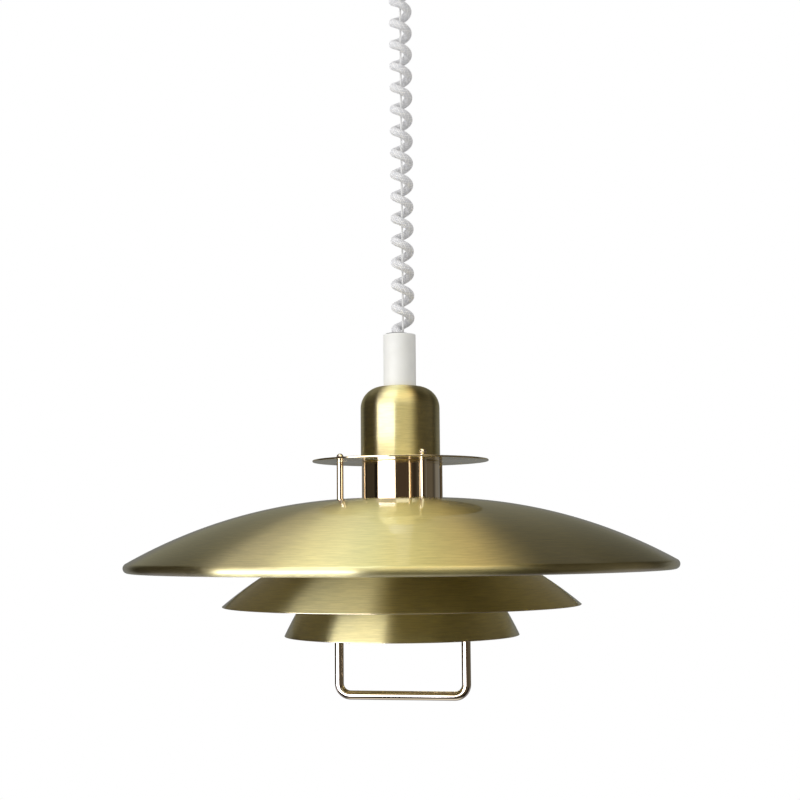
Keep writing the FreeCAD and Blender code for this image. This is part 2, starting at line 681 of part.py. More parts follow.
def make_terminals():
    x = S["terminal_at"]
    long, wide, high = S["terminal_long"], S["terminal_wide"], S["terminal_high"]
    pitch, screw_wide, out = S["pole_pitch"], S["terminal_screw_wide"], S["terminal_screw_out"]
    top = -S["bracket_thick"] - S["frame_thick"]
    body = block("terminal_body", long, wide, high, x, -wide / 2, top - high)
    cuts, screws = [], []
    for pole in (-1, 0, 1):
        cuts.append(rod("terminal_way%d" % pole, S["pole_bore"], high * 2, x + long / 2,
                        pitch * pole, top - high * 1.5))
        cuts.append(rod("terminal_screw_way%d" % pole, screw_wide + S["terminal_screw_gap"] * 2,
                        long, x + long / 2 + out, pitch * pole, top - high / 2, V(1, 0, 0)))
        screws.append(rod("terminal_screw%d" % pole, screw_wide, S["terminal_screw_long"],
                          x + long / 2 + out, pitch * pole, top - high / 2, V(1, 0, 0)))
    keep(cut("terminal", body, *cuts), "terminal_block")
    doc.recompute()
    keep(group("terminal_screw_set", [screw.Shape for screw in screws]), "terminal_screws")
    # the lead from the cord's upper end into the middle pole's mouth
    lead_end = V((x + long / 2).number, 0, (top - high).number)
    thick = S["lead_wide"].number
    rise = V(high_tail_end.x, high_tail_end.y, high_tail_end.z + thick * 1.6)
    side = V(lead_end.x, high_tail_end.y + thick * 0.6, high_tail_end.z + thick * 4)
    under = V(lead_end.x, lead_end.y, lead_end.z - thick * 3.2)
    keep(shaped("cup_lead_tube", wire_tube(
        rounded_run([high_tail_end, rise, side, under, lead_end]), S["lead_wide"].number)),
        "cup_lead")


# ---------------------------------------------------------------- wire and curly cord
def make_cord():
    curves = coil_curves()
    path = Part.Wire([curve.toShape() for curve in curves])
    radii = [curve.toShape().Curve.Radius for curve in curves
             if not isinstance(curve, Part.LineSegment)]
    points = path.discretize(Distance=1.0)
    steps = path.Length / (len(points) - 1)
    apart = int(math.pi * coil_radius / steps)
    least = min((points[i] - points[j]).Length for i in range(len(points))
                for j in range(i + apart, min(i + 4 * apart, len(points))))
    print("curly cord: length %.1f, radii %.2f to %.2f, pitch %.2f, least gap to itself %.2f"
          % (path.Length, min(radii), max(radii), coil_pitch, least - S["cord_wide"].number))
    solid = wire_tube(curves, S["cord_wide"].number)
    section = math.pi * S["cord_wide"].number ** 2 / 4
    print("curly cord: volume %.0f against %.0f" % (solid.Volume, section * path.Length))
    keep(shaped("cord", solid), "curly_cord")


def make_wire(top):
    low = (grip_top - S["plug_deep"] - S["wire_in_stop"]).number
    keep(shaped("wire", Part.makeCylinder(S["wire_wide"].number / 2, top - low,
                                          V(wire_at.x, 0, low), UP)), "suspension_wire")
    keep(tube("stop", S["stop_wide"], S["wire_wide"] + S["thread_gap"] * 2, -S["stop_long"], 0,
              S["wire_x"], 0, grip_top - S["plug_deep"]), "wire_stop")


# ---------------------------------------------------------------- grip and centre tube
def make_grip():
    outer, mouth, bore = S["grip_wide"] / 2, S["grip_mouth"] / 2, S["grip_bore"] / 2
    seat, edge = S["grip_seat"] / 2, S["grip_edge"]
    low, floor = -S["grip_high"], -S["grip_high"] + S["grip_floor"]
    housing = turned("grip", [
        (tube_hole / 2, low), (outer - edge, low, edge, 1), (outer, low + edge), (outer, -edge, edge, 1),
        (outer - edge, 0), (mouth, 0), (mouth, -S["plug_deep"]), (bore, -S["plug_deep"]),
        (bore, -S["bore_deep"]), (seat, -S["bore_deep"]), (seat, floor), (tube_hole / 2, floor)],
        0, 0, grip_top)
    keep(housing, "grip_housing")
    plug = rod("plug", S["grip_mouth"] - S["thread_gap"] * 2, S["plug_deep"], 0, 0,
               grip_top - S["plug_deep"])
    wire_way = rod("plug_wire_way", S["wire_wide"] + S["hole_gap"] * 3, S["plug_deep"] * 3,
                   S["wire_x"], 0, grip_top - S["plug_deep"] * 1.5)
    keep(cut("grip_plug", plug, cord_passage("plug_cord_way", True), wire_way), "grip_plug")
    gasket = rod("gasket", S["gasket_wide"], S["gasket_thick"], -S["gasket_x"], -S["gasket_y"],
                 grip_top)
    wire_slot = rod("gasket_wire_way", S["wire_wide"] + S["hole_gap"] * 3, S["plug_deep"] * 3,
                    S["wire_x"], 0, grip_top - S["plug_deep"] * 1.5)
    keep(cut("grip_gasket", gasket, cord_passage("gasket_cord_way", True), wire_slot),
         "grip_gasket")
    clamp("grip_clamp", S["grip_bore"] - S["grip_clamp_gap"] * 2, 0, 0, grip_top - S["bore_deep"],
          S["grip_clamp_high"], low_tail, S["grip_screw_y"])


def make_inner_lead():
    """The cord's inner lead: out of the clamp, across to the middle and down the tube."""
    start = low_tail_end
    end_level = (skirt_top + S["lead_above_core"]).number
    grip_floor = grip_top - S["grip_high"] + S["grip_floor"]
    middle_level = (grip_floor + S["lead_above_floor"]).number
    knee = start - UP * S["lead_knee"].number
    low_knee = V(0, 0, middle_level)
    keep(shaped("inner_lead_tube", wire_tube(
        rounded_run([start, knee, low_knee, V(0, 0, end_level)]), S["lead_wide"].number)),
        "inner_lead")


def make_centre_tube():
    top = grip_top - S["grip_high"] + S["grip_floor"] - S["tube_below_floor"]
    low = holder_top - S["tube_in_holder"]
    keep(tube("centre", S["tube_wide"], S["tube_bore"], low - top, 0, 0, 0, top), "centre_tube")
    under_cap = cap_top - S["sheet_metal"]
    levels = [under_cap - S["washer_thick"] - S["nut_thick"], collar_top,
              sleeve_inner_top - S["washer_thick"] - S["nut_thick"]]
    nut = cut("centre_nut", hexagon("centre_hex", S["nut_across"], S["nut_thick"]),
              rod("centre_hex_way", tube_hole, S["nut_thick"] * 3, 0, 0, -S["nut_thick"]))
    keep(spots("centre_nut_set", nut, [(0, 0, level) for level in levels]), "centre_nuts")
    washer = tube("centre_washer", S["washer_wide"], tube_hole, 0, S["washer_thick"])
    keep(spots("centre_washer_set", washer,
               [(0, 0, level) for level in (under_cap - S["washer_thick"],
                                            sleeve_inner_top - S["washer_thick"])]),
         "centre_washers")


# ---------------------------------------------------------------- cap, collar and sleeve
def make_cap():
    outer, bend, wall, high = S["cap_wide"] / 2, S["cap_shoulder"], S["sheet_metal"], S["cap_high"]
    hole = tube_hole / 2 + S["hole_gap"]
    keep(turned("cap", [
        (hole, 0), (outer - bend, 0, bend, -1), (outer, -bend), (outer, -high),
        (outer - wall, -high), (outer - wall, -bend, bend - wall, 1), (outer - bend, -wall),
        (hole, -wall)], 0, 0, cap_top), "spun_cap")


def make_collar():
    outer, edge = S["collar_wide"] / 2, S["collar_edge"]
    hole = tube_hole / 2 + S["hole_gap"]
    collar = turned("collar", [
        (hole, -S["collar_thick"]), (outer - edge, -S["collar_thick"], edge, 1),
        (outer, edge - S["collar_thick"]), (outer, -edge, edge, 1), (outer - edge, 0), (hole, 0)],
        0, 0, collar_top)
    keep(drilled(collar, stud_x, 0, stud_hole, 3), "collar_disc")


def make_sleeve():
    outer, wall, long = S["sleeve_wide"] / 2, S["sheet_metal"], S["sleeve_long"]
    hole = tube_hole / 2 + S["hole_gap"]
    keep(turned("sleeve", [
        (hole, 0), (outer, 0), (outer, -long), (outer - wall, -long), (outer - wall, -wall),
        (hole, -wall)], 0, 0, collar_low), "polished_sleeve")


# ---------------------------------------------------------------- shades
def dome_fall(distance):
    """How far the outer shade has fallen at a distance from its axis."""
    past = distance - S["outer_flat"] / 2
    return S["outer_curve"] - root(S["outer_curve"] * S["outer_curve"] - past * past)


def make_outer_shade():
    wall, curve, rim, flat = S["shade_wall"], S["outer_curve"], S["outer_rim"], S["outer_flat"] / 2
    hole = S["sleeve_wide"] / 2 + S["sleeve_gap"]
    rim_x = S["outer_wide"] / 2 - rim
    join_x = (rim_x - rim * flat / curve) / (1 - rim / curve)
    lean = (join_x - flat) / curve
    level = root(1 - lean * lean)
    join_z = curve * level - curve
    rim_z = join_z - rim * level
    start_past = hole - flat
    start = -(curve - root(curve * curve - start_past * start_past))
    inside = curve - wall
    inner_start = root(inside * inside - start_past * start_past) - curve
    shade = turned("outer", [
        (hole, start, curve, -1), (join_x, join_z, rim, -1), (rim_x, rim_z - rim),
        (rim_x, rim_z - rim + wall, rim - wall, 1),
        (join_x - wall * lean, join_z - wall * level, inside, 1), (hole, inner_start)],
        0, 0, outer_top)
    keep(drilled(shade, stud_x, 0, stud_hole, 3), "outer_shade")


def make_middle_shade():
    wall, curve = S["shade_wall"], S["middle_curve"]
    bore, flange = S["ring_bore"] / 2, (S["middle_flange"] / 2, as_size(0))
    rim = (S["middle_wide"] / 2, -S["middle_high"])
    centre = right_arc_centre(flange, rim, curve)
    inner_rim = offset_inward(rim, centre, curve, wall)
    inner_flange = offset_inward(flange, centre, curve, wall)
    shade = turned("middle", [
        (bore, 0), (flange[0], 0, curve, -1), rim, (*inner_rim, curve - wall, 1), inner_flange,
        (bore, -wall)], 0, 0, middle_top)
    drilled(shade, stud_x, 0, stud_hole, 3)
    keep(drilled(shade, 0, S["stud_circle"], stud_hole, 3), "middle_shade")


def make_lower_shade():
    """A flat ring, a round shoulder through sixty degrees and a steep wall."""
    wall, shoulder, curve = S["shade_wall"], S["lower_shoulder"], S["lower_curve"]
    half, steep = 0.5, math.sqrt(3.0) / 2
    bore, flange = S["ring_bore"] / 2, S["lower_flange"] / 2
    turn = (flange + shoulder * steep, -shoulder * half)
    rim = (S["lower_wide"] / 2, -S["lower_high"])
    inner_turn = (flange + (shoulder - wall) * steep, -shoulder + (shoulder - wall) * half)
    inner_rim = offset_inward(rim, right_arc_centre(turn, rim, curve), curve, wall)
    shade = turned("lower", [
        (bore, 0), (flange, 0, shoulder, -1), (*turn, curve, -1), rim, (*inner_rim, curve, 1),
        (*inner_turn, shoulder - wall, 1), (flange, -wall), (bore, -wall)], 0, 0, lower_top)
    drilled(shade, 0, S["stud_circle"], stud_hole, 3)
    for side in (-1, 1):
        drilled(shade, S["handle_span"] / 2 * side, 0, S["handle_screw"] + S["hole_gap"] * 2)
    keep(shade, "lower_shade")


# ---------------------------------------------------------------- studs, spacers and nuts
def make_studs():
    circle, wide, wall = S["stud_circle"], S["stud_wide"], S["shade_wall"]
    reach = S["spacer_wide"] / 2
    thick, washer = S["small_nut_thick"], S["small_washer_thick"]
    middle_low = middle_top - wall
    lower_low = lower_top - wall
    # long studs from the dome nuts down to the middle shade
    stud_low = middle_low - washer - thick - S["stud_tip"]
    stud_high = collar_top + S["dome_nut_high"] * stud_share
    long_stud = rod("long_stud", wide, stud_high - stud_low, stud_x, 0, stud_low)
    keep(ring_of("long_stud_ring", long_stud), "long_studs")
    radius, high = S["dome_nut_wide"] / 2, S["dome_nut_high"]
    neck, bore = radius * neck_share, spacer_bore / 2
    ball = high - radius
    shoulder = ball - root(radius * radius - neck * neck)
    dome = turned("dome_nut", [
        (bore, 0), (neck, 0), (neck, shoulder, radius, 1), (radius, ball, radius, 1), (0, high),
        (0, high * bore_share), (bore, high * bore_share)], stud_x, 0, collar_top)
    keep(ring_of("dome_nut_ring", dome), "dome_nuts")
    # tubes that keep the collar, the outer shade and the middle shade apart
    upper_low = outer_top - dome_fall(circle - reach)
    upper = tube("upper_spacer", S["spacer_wide"], spacer_bore, upper_low - collar_low, 0, stud_x, 0,
                 collar_low)
    keep(ring_of("upper_spacer_ring", upper), "upper_spacers")
    under_outer = outer_top - dome_fall(circle + reach) - wall * lean_share
    middle = tube("middle_spacer", S["spacer_wide"], spacer_bore, middle_top - under_outer, 0,
                  stud_x, 0, under_outer)
    keep(ring_of("middle_spacer_ring", middle), "middle_spacers")
    # short screws that carry the lower shade, half way between the long studs
    short_low = lower_low - washer - thick - S["stud_tip"]
    head = rod("short_head", wide * head_share, S["screw_head_high"], 0, circle, middle_top)
    stem = rod("short_stem", wide, middle_top - short_low, 0, circle, short_low)
    keep(ring_of("short_screw_ring", fused("short_screw", head, stem)), "shade_screws")
    lower = tube("lower_spacer", S["spacer_wide"], spacer_bore, lower_top - middle_low, 0, 0, circle,
                 middle_low)
    keep(ring_of("lower_spacer_ring", lower), "lower_spacers")
    # washers and hexagon nuts under both shades
    ring = tube("small_washer", S["small_washer_wide"], spacer_bore, 0, washer)
    hexes = cut("small_nut", hexagon("small_hex", S["small_nut_across"], thick),
                rod("small_hex_way", spacer_bore, thick * 3, 0, 0, -thick))
    stacks = [(middle_low, 180), (lower_low, 90)]
    washers, nuts = [], []
    for level, first in stacks:
        for index in range(3):
            angle = math.radians(first + 120 * index)
            spot = (circle * math.cos(angle), circle * math.sin(angle))
            washers.append((*spot, level - washer))
            nuts.append((*spot, level - washer - thick))
    keep(spots("small_washer_set", ring, washers), "shade_washers")
    keep(spots("small_nut_set", hexes, nuts), "shade_nuts")


# ---------------------------------------------------------------- handle
def make_handle():
    """One bent rod: a leg, a corner, the bar, a corner and a leg, tapped at both ends."""
    body = doc.addObject("PartDesign::Body", "handle")
    half, bend, drop = S["handle_span"] / 2, S["handle_corner"], S["handle_drop"]
    route = new_sketch(body, "XZ_Plane")
    corners = [(-half, 0), (-half, bend - drop, bend, 1), (bend - half, -drop),
               (half - bend, -drop, bend, 1), (half, bend - drop), (half, 0)]
    points = [V(as_size(c[0]).number, as_size(c[1]).number, 0) for c in corners]
    for index, corner in enumerate(corners[:-1]):
        if len(corner) == 2:
            route.addGeometry(Part.LineSegment(points[index], points[index + 1]), False)
        else:
            route.addGeometry(arc_between(points[index], points[index + 1], bend.number, 1), False)
            bound = route.addConstraint(Sketcher.Constraint("Radius", index, bend.number))
            route.setExpression("Constraints[%d]" % bound, bend.text)
        pin_point(route, index, 1, corner[0], corner[1])
        if index:
            route.addConstraint(Sketcher.Constraint("Coincident", index - 1, 2, index, 1))
    pin_point(route, len(corners) - 2, 2, half, 0)
    section = new_sketch(body, "XY_Plane")
    section.addGeometry(Part.Circle(V(-half.number, 0, 0), UP, S["handle_rod"].number / 2), False)
    bound = section.addConstraint(Sketcher.Constraint("Radius", 0, S["handle_rod"].number / 2))
    section.setExpression("Constraints[%d]" % bound, (S["handle_rod"] / 2).text)
    pin_point(section, 0, 3, -half, 0)
    doc.recompute()
    bar = body.newObject("PartDesign::AdditivePipe", "handle_bar")
    bar.Profile = section
    bar.Spine = (route, ["Edge%d" % (index + 1) for index in range(len(corners) - 1)])
    doc.recompute()
    taps = new_sketch(body, "XY_Plane")
    for index, side in enumerate((-1, 1)):
        radius = S["handle_screw"] / 2 + S["thread_gap"]
        taps.addGeometry(Part.Circle(V(half.number * side, 0, 0), UP, radius.number), False)
        bound = taps.addConstraint(Sketcher.Constraint("Radius", index, radius.number))
        taps.setExpression("Constraints[%d]" % bound, radius.text)
        pin_point(taps, index, 3, half * side, 0)
    doc.recompute()
    tapped = body.newObject("PartDesign::Pocket", "handle_taps")
    tapped.Profile = taps
    tapped.Type = "Length"
    tapped.setExpression("Length", S["handle_tap_deep"].text)
    doc.recompute()
    keep(place(body, 0, 0, handle_top), "handle")
    head = rod("handle_screw_head", S["handle_screw"] * head_share, S["screw_head_high"], 0, 0,
               lower_top + S["small_washer_thick"])
    long = S["handle_tap_deep"] - S["tap_left"] + S["shade_wall"] + S["small_washer_thick"]
    stem = rod("handle_screw_stem", S["handle_screw"], long, 0, 0,
               lower_top + S["small_washer_thick"] - long)
    sides = [(half * side, 0, 0) for side in (-1, 1)]
    keep(spots("handle_screw_pair", fused("handle_screw_one", head, stem), sides), "handle_screws")
    washer = tube("handle_washer", S["small_washer_wide"], spacer_bore, 0, S["small_washer_thick"],
                  0, 0, lower_top)
    keep(spots("handle_washer_pair", washer, sides), "handle_washers")


# ---------------------------------------------------------------- lampholder
def make_lampholder():
    outer, wall, high = S["holder_wide"] / 2, S["holder_wall"], S["holder_cap_high"]
    collar = S["holder_neck"] / 2
    bend = outer - collar
    step = high - bend - S["holder_band"]
    keep(turned("holder_cap", [
        (tube_hole / 2, 0), (collar, 0), (collar, -step, bend, -1), (outer, -step - bend),
        (outer, -high), (outer - wall, -high), (outer - wall, -step - bend, bend - wall, 1),
        (collar, -step - wall), (tube_hole / 2, -step - wall)], 0, 0, holder_top),
        "lampholder_cap")
    deep = S["holder_skirt_high"]
    spigot, seat = outer - wall - S["hole_gap"], S["lamp_thread"] / 2 + S["skirt_seat"]
    inside, rise, ledge = spigot - wall, S["spigot_high"], -S["core_seat"]
    keep(turned("holder_skirt", [
        (inside, rise), (spigot, rise), (spigot, 0), (outer, 0),
        (outer - S["skirt_taper"], S["skirt_chamfer"] - deep), (outer - S["skirt_lip"], -deep),
        (seat, -deep), (seat, ledge), (inside, ledge)], 0, 0, skirt_top),
        "lampholder_skirt")
    face, rim, recess = -S["core_nose"], -S["core_rim"], S["core_recess"] / 2
    nose, body = seat - S["thread_gap"], inside - S["thread_gap"]
    keep(turned("holder_core", [(0, face), (recess, face), (recess, rim), (nose, rim), (nose, ledge),
                                (body, ledge), (body, rise), (0, rise)], 0, 0, skirt_top),
         "lampholder_core")
    keep(tube("shell", S["lamp_thread"] + S["shell_wall"] * 2, S["lamp_thread"],
              rim - S["lamp_thread_long"], rim, 0, 0, skirt_top), "thread_shell")
    radius, low = S["button_wide"] / 2, face - S["button_deep"]
    button = turned("contact_button", [
        (0, low - S["button_crown"]), (S["button_tip"] / 2, low), (radius, face - S["button_edge"]),
        (radius, face), (0, face)], 0, 0, skirt_top)
    across, at = S["finger_wide"], S["finger_at"]
    finger = block("contact_finger", S["finger_thick"], across, S["finger_drop"], at, -across / 2,
                   skirt_top + face - S["finger_drop"])
    doc.recompute()
    keep(group("contact_pair", [button.Shape, finger.Shape]), "lamp_contacts")
    screw = rod("core_screw", S["core_screw_wide"], S["core_screw_high"], 0, 0, skirt_top + rise)
    keep(spots("core_screw_pair", screw, [(at * side, 0, 0) for side in (-1, 1)]), "core_screws")


# ---------------------------------------------------------------- the whole pendant
make_bracket()
make_cup()
make_outlet()
clamp("outlet_clamp", S["outlet_neck"], S["outlet_x"], -S["outlet_y"], cup_floor + S["outlet_face"],
      S["outlet_clamp_high"], high_tail, S["outlet_screw_y"])
drum_x = make_reel_frame()
make_axle(drum_x)
make_drum(drum_x)
winding_low = make_winding(drum_x)
make_terminals()
make_cord()
make_wire(winding_low)
make_grip()
make_inner_lead()
make_centre_tube()
make_cap()
make_collar()
make_sleeve()
make_outer_shade()
make_middle_shade()
make_lower_shade()
make_studs()
make_handle()
make_lampholder()
doc.recompute()

# ---------------------------------------------------------------- proof and export
for item in doc.Objects:
    faults = [state for state in item.State if state in ("Invalid", "Error")]
    if faults:
        raise RuntimeError("%s (%s) is %s" % (item.Name, item.Label, faults))
for piece in parts:
    if piece.Shape.isNull() or not piece.Shape.isValid():
        raise RuntimeError("%s has no valid shape" % piece.Label)
os.makedirs("parts", exist_ok=True)
for piece in parts:
    piece.Shape.exportStep("parts/%s.step" % piece.Label)
    print("%-20s %2d solids %10.1f mm3" % (piece.Label, len(piece.Shape.Solids), piece.Shape.Volume))
print(len(parts), "sub-parts")
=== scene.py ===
import math

import bpy
import numpy as np
from mathutils import Matrix, Vector


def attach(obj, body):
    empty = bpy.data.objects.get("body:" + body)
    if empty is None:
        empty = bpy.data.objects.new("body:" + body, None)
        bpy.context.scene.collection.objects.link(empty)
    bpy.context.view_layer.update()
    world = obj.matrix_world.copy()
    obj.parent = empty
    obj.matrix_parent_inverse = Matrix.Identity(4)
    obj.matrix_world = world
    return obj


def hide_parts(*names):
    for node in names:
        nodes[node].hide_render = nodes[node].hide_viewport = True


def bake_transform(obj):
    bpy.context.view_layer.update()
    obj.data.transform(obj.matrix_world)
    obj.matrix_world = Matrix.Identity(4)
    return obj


# Dresses the rise and fall pendant: spun brass shades, polished rods and sleeve, a braided curly
# cord and a coated wire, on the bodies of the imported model. Outlines and levels are in
# millimetres; times MM they are in metres, as everything in the scene is.

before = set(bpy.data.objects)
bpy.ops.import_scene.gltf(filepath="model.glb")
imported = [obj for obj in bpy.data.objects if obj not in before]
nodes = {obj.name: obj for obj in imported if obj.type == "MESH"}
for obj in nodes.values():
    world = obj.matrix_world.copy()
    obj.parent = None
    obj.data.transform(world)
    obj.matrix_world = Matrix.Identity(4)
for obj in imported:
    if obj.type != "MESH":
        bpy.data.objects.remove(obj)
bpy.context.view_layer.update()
MM = 0.001

# ---------------------------------------------------------------- sizes, as the source has them
GRIP_TOP, CAP_TOP, COLLAR_TOP, COLLAR_LOW = -437.0, -485.6, -553.5, -555.0
OUTER_TOP, MIDDLE_TOP, LOWER_TOP, HANDLE_TOP = -588.5, -627.0, -673.0, -673.8
CUP_FLOOR, BUSH_LOW, SKIRT_TOP = -92.0, -99.5, -586.0
WALL, TUBE_HOLE = 0.8, 5.25
OUTER_FLAT, OUTER_CURVE = 31.0, 440.0
STUD_CIRCLE, STUDS, SPACER_RADIUS = 57.0, 3, 3.15
FIRST_STUD, FIRST_SCREW = 180.0, 90.0
CAMERA_SIDE = math.radians(-80.0)
# an outline's points: the widest turn between two on an arc, and how close the first and last
# points of a straight run lie to its ends, in millimetres and as a share of the run
ARC_TURN, END_CLOSE, END_SHARE = math.radians(7), 0.25, 0.2


# ---------------------------------------------------------------- mesh helpers
def arc_points(start, end, radius, turn, step):
    """Points after start and up to end on an arc; turn is 1 to the left and -1 to the right."""
    start, end = Vector(start), Vector(end)
    across = end - start
    height = math.sqrt(max(radius ** 2 - across.length_squared / 4, 0.0))
    centre = (start + end) / 2 + Vector((-across.y, across.x)).normalized() * turn * height
    first = math.atan2(start.y - centre.y, start.x - centre.x)
    last = math.atan2(end.y - centre.y, end.x - centre.x)
    sweep = (last - first) * turn % (2 * math.pi) * turn
    count = max(3, math.ceil(abs(sweep) / ARC_TURN), math.ceil(abs(sweep) * radius / step))
    return [(centre.x + radius * math.cos(first + sweep * i / count),
             centre.y + radius * math.sin(first + sweep * i / count)) for i in range(1, count + 1)]


def outline(corners, step=3.0):
    """A closed, dense run of (radius, height) points. A corner is (x, z), or (x, z, radius, turn)
    where an arc leaves it. Straight runs get a point close to each end, which keeps them flat."""
    points = [corners[0][:2]]
    for here, there in zip(corners, corners[1:] + corners[:1]):
        if len(here) == 4:
            points += arc_points(here[:2], there[:2], here[2], here[3], step)
            continue
        a, b = Vector(here[:2]), Vector(there[:2])
        close = min(END_CLOSE, (b - a).length * END_SHARE)
        inner = max(1, math.ceil((b - a).length / (step * 4)))
        along = (b - a).normalized()
        points.append(tuple(a + along * close))
        points += [tuple(a.lerp(b, i / inner)) for i in range(1, inner)]
        points.append(tuple(b - along * close))
        points.append(tuple(b))
    return points[:-1]


def raised(profile, level):
    return [(x, z + level) for x, z in profile]


def mesh_piece(name, points, faces, materials, body, kinds=None, sharp=35, uv=None):
    """A smooth mesh that rides on a body. kinds gives each face its material's number."""
    mesh = bpy.data.meshes.new(name)
    mesh.from_pydata([tuple(p) for p in points], [], [tuple(f) for f in faces])
    for material in materials:
        mesh.materials.append(material)
    if kinds is not None:
        mesh.polygons.foreach_set("material_index", list(kinds))
    if uv is not None:
        layer = mesh.uv_layers.new(name="UVMap")
        layer.data.foreach_set("uv", np.asarray(uv, np.float32).ravel())
    mesh.polygons.foreach_set("use_smooth", [True] * len(mesh.polygons))
    mesh.set_sharp_from_angle(angle=math.radians(sharp))
    mesh.validate()
    piece = bpy.data.objects.new(name, mesh)
    bpy.context.scene.collection.objects.link(piece)
    if body:
        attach(piece, body)
    return piece


def on_axis(spot):
    return spot[0] < 1e-6


def turned_mesh(profile, steps, spot):
    """Points and faces of a closed outline turned round an upright axis through spot."""
    count = len(profile)
    points, faces = [], []
    for i in range(steps):
        angle = 2 * math.pi * i / steps
        for radius, height in profile:
            points.append(((radius * math.cos(angle) + spot[0]) * MM,
                           (radius * math.sin(angle) + spot[1]) * MM, (height + spot[2]) * MM))
    for i in range(steps):
        here, there = i * count, (i + 1) % steps * count
        for j in range(count):
            k = (j + 1) % count
            if on_axis(profile[j]) and on_axis(profile[k]):
                continue
            face = [here + j, here + k, there + k, there + j]
            if on_axis(profile[j]):
                face = [here + j, here + k, there + k]
            elif on_axis(profile[k]):
                face = [here + j, here + k, there + j]
            faces.append(face)
    return points, faces


def turned(name, profile, steps, material, spots=((0.0, 0.0, 0.0),), lining=None, lined=None):
    """A turned piece, once at each spot. Faces whose outline edge is in lined get the lining."""
    points, faces, kinds, single = [], [], [], []
    for j, spot in enumerate(profile):
        if not (on_axis(spot) and on_axis(profile[(j + 1) % len(profile)])):
            single.append(1 if lined and lined(j) else 0)
    for spot in spots:
        more, sides = turned_mesh(profile, steps, spot)
        faces += [[index + len(points) for index in side] for side in sides]
        points += more
        kinds += single * steps
    materials = [material] + ([lining] if lining else [])
    return name, points, faces, materials, kinds


def add_turned(body, slot, replaced, *made):
    name, points, faces, materials, kinds = made
    piece = mesh_piece(name, points, faces, materials, body, kinds)
    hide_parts(*replaced)


def ring_faces(rows, sides):
    """The faces between rows + 1 rings of points."""
    faces = []
    for i in range(rows):
        for s in range(sides):
            t = (s + 1) % sides
            faces.append([i * sides + s, i * sides + t, (i + 1) * sides + t, (i + 1) * sides + s])
    return faces


def swept(points, radius, sides):
    """A closed tube along points: its mesh points, faces and corner coordinates, which are the
    share of the way round and the distance along in metres."""
    path = [Vector(p) for p in points]
    tangents = [(path[min(i + 1, len(path) - 1)] - path[max(i - 1, 0)]).normalized()
                for i in range(len(path))]
    side = tangents[0].orthogonal().normalized()
    faces = ring_faces(len(path) - 1, sides)
    verts, corners, far = [], [], [0.0]
    for i, (spot, tangent) in enumerate(zip(path, tangents)):
        if i:
            side = tangents[i - 1].rotation_difference(tangent) @ side
            far.append(far[-1] + (spot - path[i - 1]).length)
        side = (side - tangent * side.dot(tangent)).normalized()
        other = tangent.cross(side)
        for s in range(sides):
            angle = 2 * math.pi * s / sides
            verts.append(spot + (side * math.cos(angle) + other * math.sin(angle)) * radius)
    for i in range(len(path) - 1):
        for s in range(sides):
            u, v = s / sides, (s + 1) / sides
            corners += [(u, far[i]), (v, far[i]), (v, far[i + 1]), (u, far[i + 1])]
    for i, order in ((0, -1), (len(path) - 1, 1)):
        faces.append([i * sides + s for s in range(sides)][::order])
        corners += [(0.5, far[i])] * sides
    return verts, faces, corners


# ---------------------------------------------------------------- node helpers
def put(tree, kind, **settings):
    node = tree.nodes.new(kind)
    for name, value in settings.items():
        setattr(node, name, value)
    return node


def feed(tree, socket, value):
    """Links a socket, or sets a plain value."""
    if isinstance(value, bpy.types.NodeSocket):
        tree.links.new(value, socket)
    else:
        socket.default_value = value


def calc(tree, operation, *values, clamp=False):
    node = put(tree, "ShaderNodeMath", operation=operation, use_clamp=clamp)
    for socket, value in zip(node.inputs, values):
        feed(tree, socket, value)
    return node.outputs[0]


def ranged(tree, value, low, high, to_low=0.0, to_high=1.0, smooth=True):
    node = put(tree, "ShaderNodeMapRange")
    node.interpolation_type = "SMOOTHSTEP" if smooth else "LINEAR"
    for socket, number in zip(node.inputs, (value, low, high, to_low, to_high)):
        feed(tree, socket, number)
    return node.outputs[0]


def blended(tree, share, first, second):
    """A colour between two, by a share from 0 to 1."""
    node = put(tree, "ShaderNodeMix", data_type="RGBA")
    feed(tree, node.inputs[0], share)
    feed(tree, node.inputs[6], first)
    feed(tree, node.inputs[7], second)
    return node.outputs[2]


def noise(tree, vector, scale, detail=3.0, rough=0.5):
    node = put(tree, "ShaderNodeTexNoise")
    feed(tree, node.inputs["Vector"], vector)
    node.inputs["Scale"].default_value = scale
    node.inputs["Detail"].default_value = detail
    node.inputs["Roughness"].default_value = rough
    return node.outputs["Fac"]


def joined(tree, x, y, z):
    node = put(tree, "ShaderNodeCombineXYZ")
    for socket, value in zip(node.inputs, (x, y, z)):
        feed(tree, socket, value)
    return node.outputs[0]


def split(tree, vector):
    node = put(tree, "ShaderNodeSeparateXYZ")
    feed(tree, node.inputs[0], vector)
    return node.outputs


def from_axis(tree, x, y):
    """The distance from the upright axis."""
    return calc(tree, "SQRT", calc(tree, "ADD", calc(tree, "MULTIPLY", x, x),
                                   calc(tree, "MULTIPLY", y, y)))


def toward(tree, x, y, angle):
    """How far x and y lie toward an angle round the upright axis."""
    return calc(tree, "ADD", calc(tree, "MULTIPLY", x, math.cos(angle)),
                calc(tree, "MULTIPLY", y, math.sin(angle)))


def seen_straight(tree):
    """1 where the camera, a mirror or a clear body looks, 0 where light only falls."""
    path = put(tree, "ShaderNodeLightPath")
    return calc(tree, "MAXIMUM", path.outputs["Is Camera Ray"],
                calc(tree, "MAXIMUM", path.outputs["Is Glossy Ray"],
                     path.outputs["Is Transmission Ray"]))


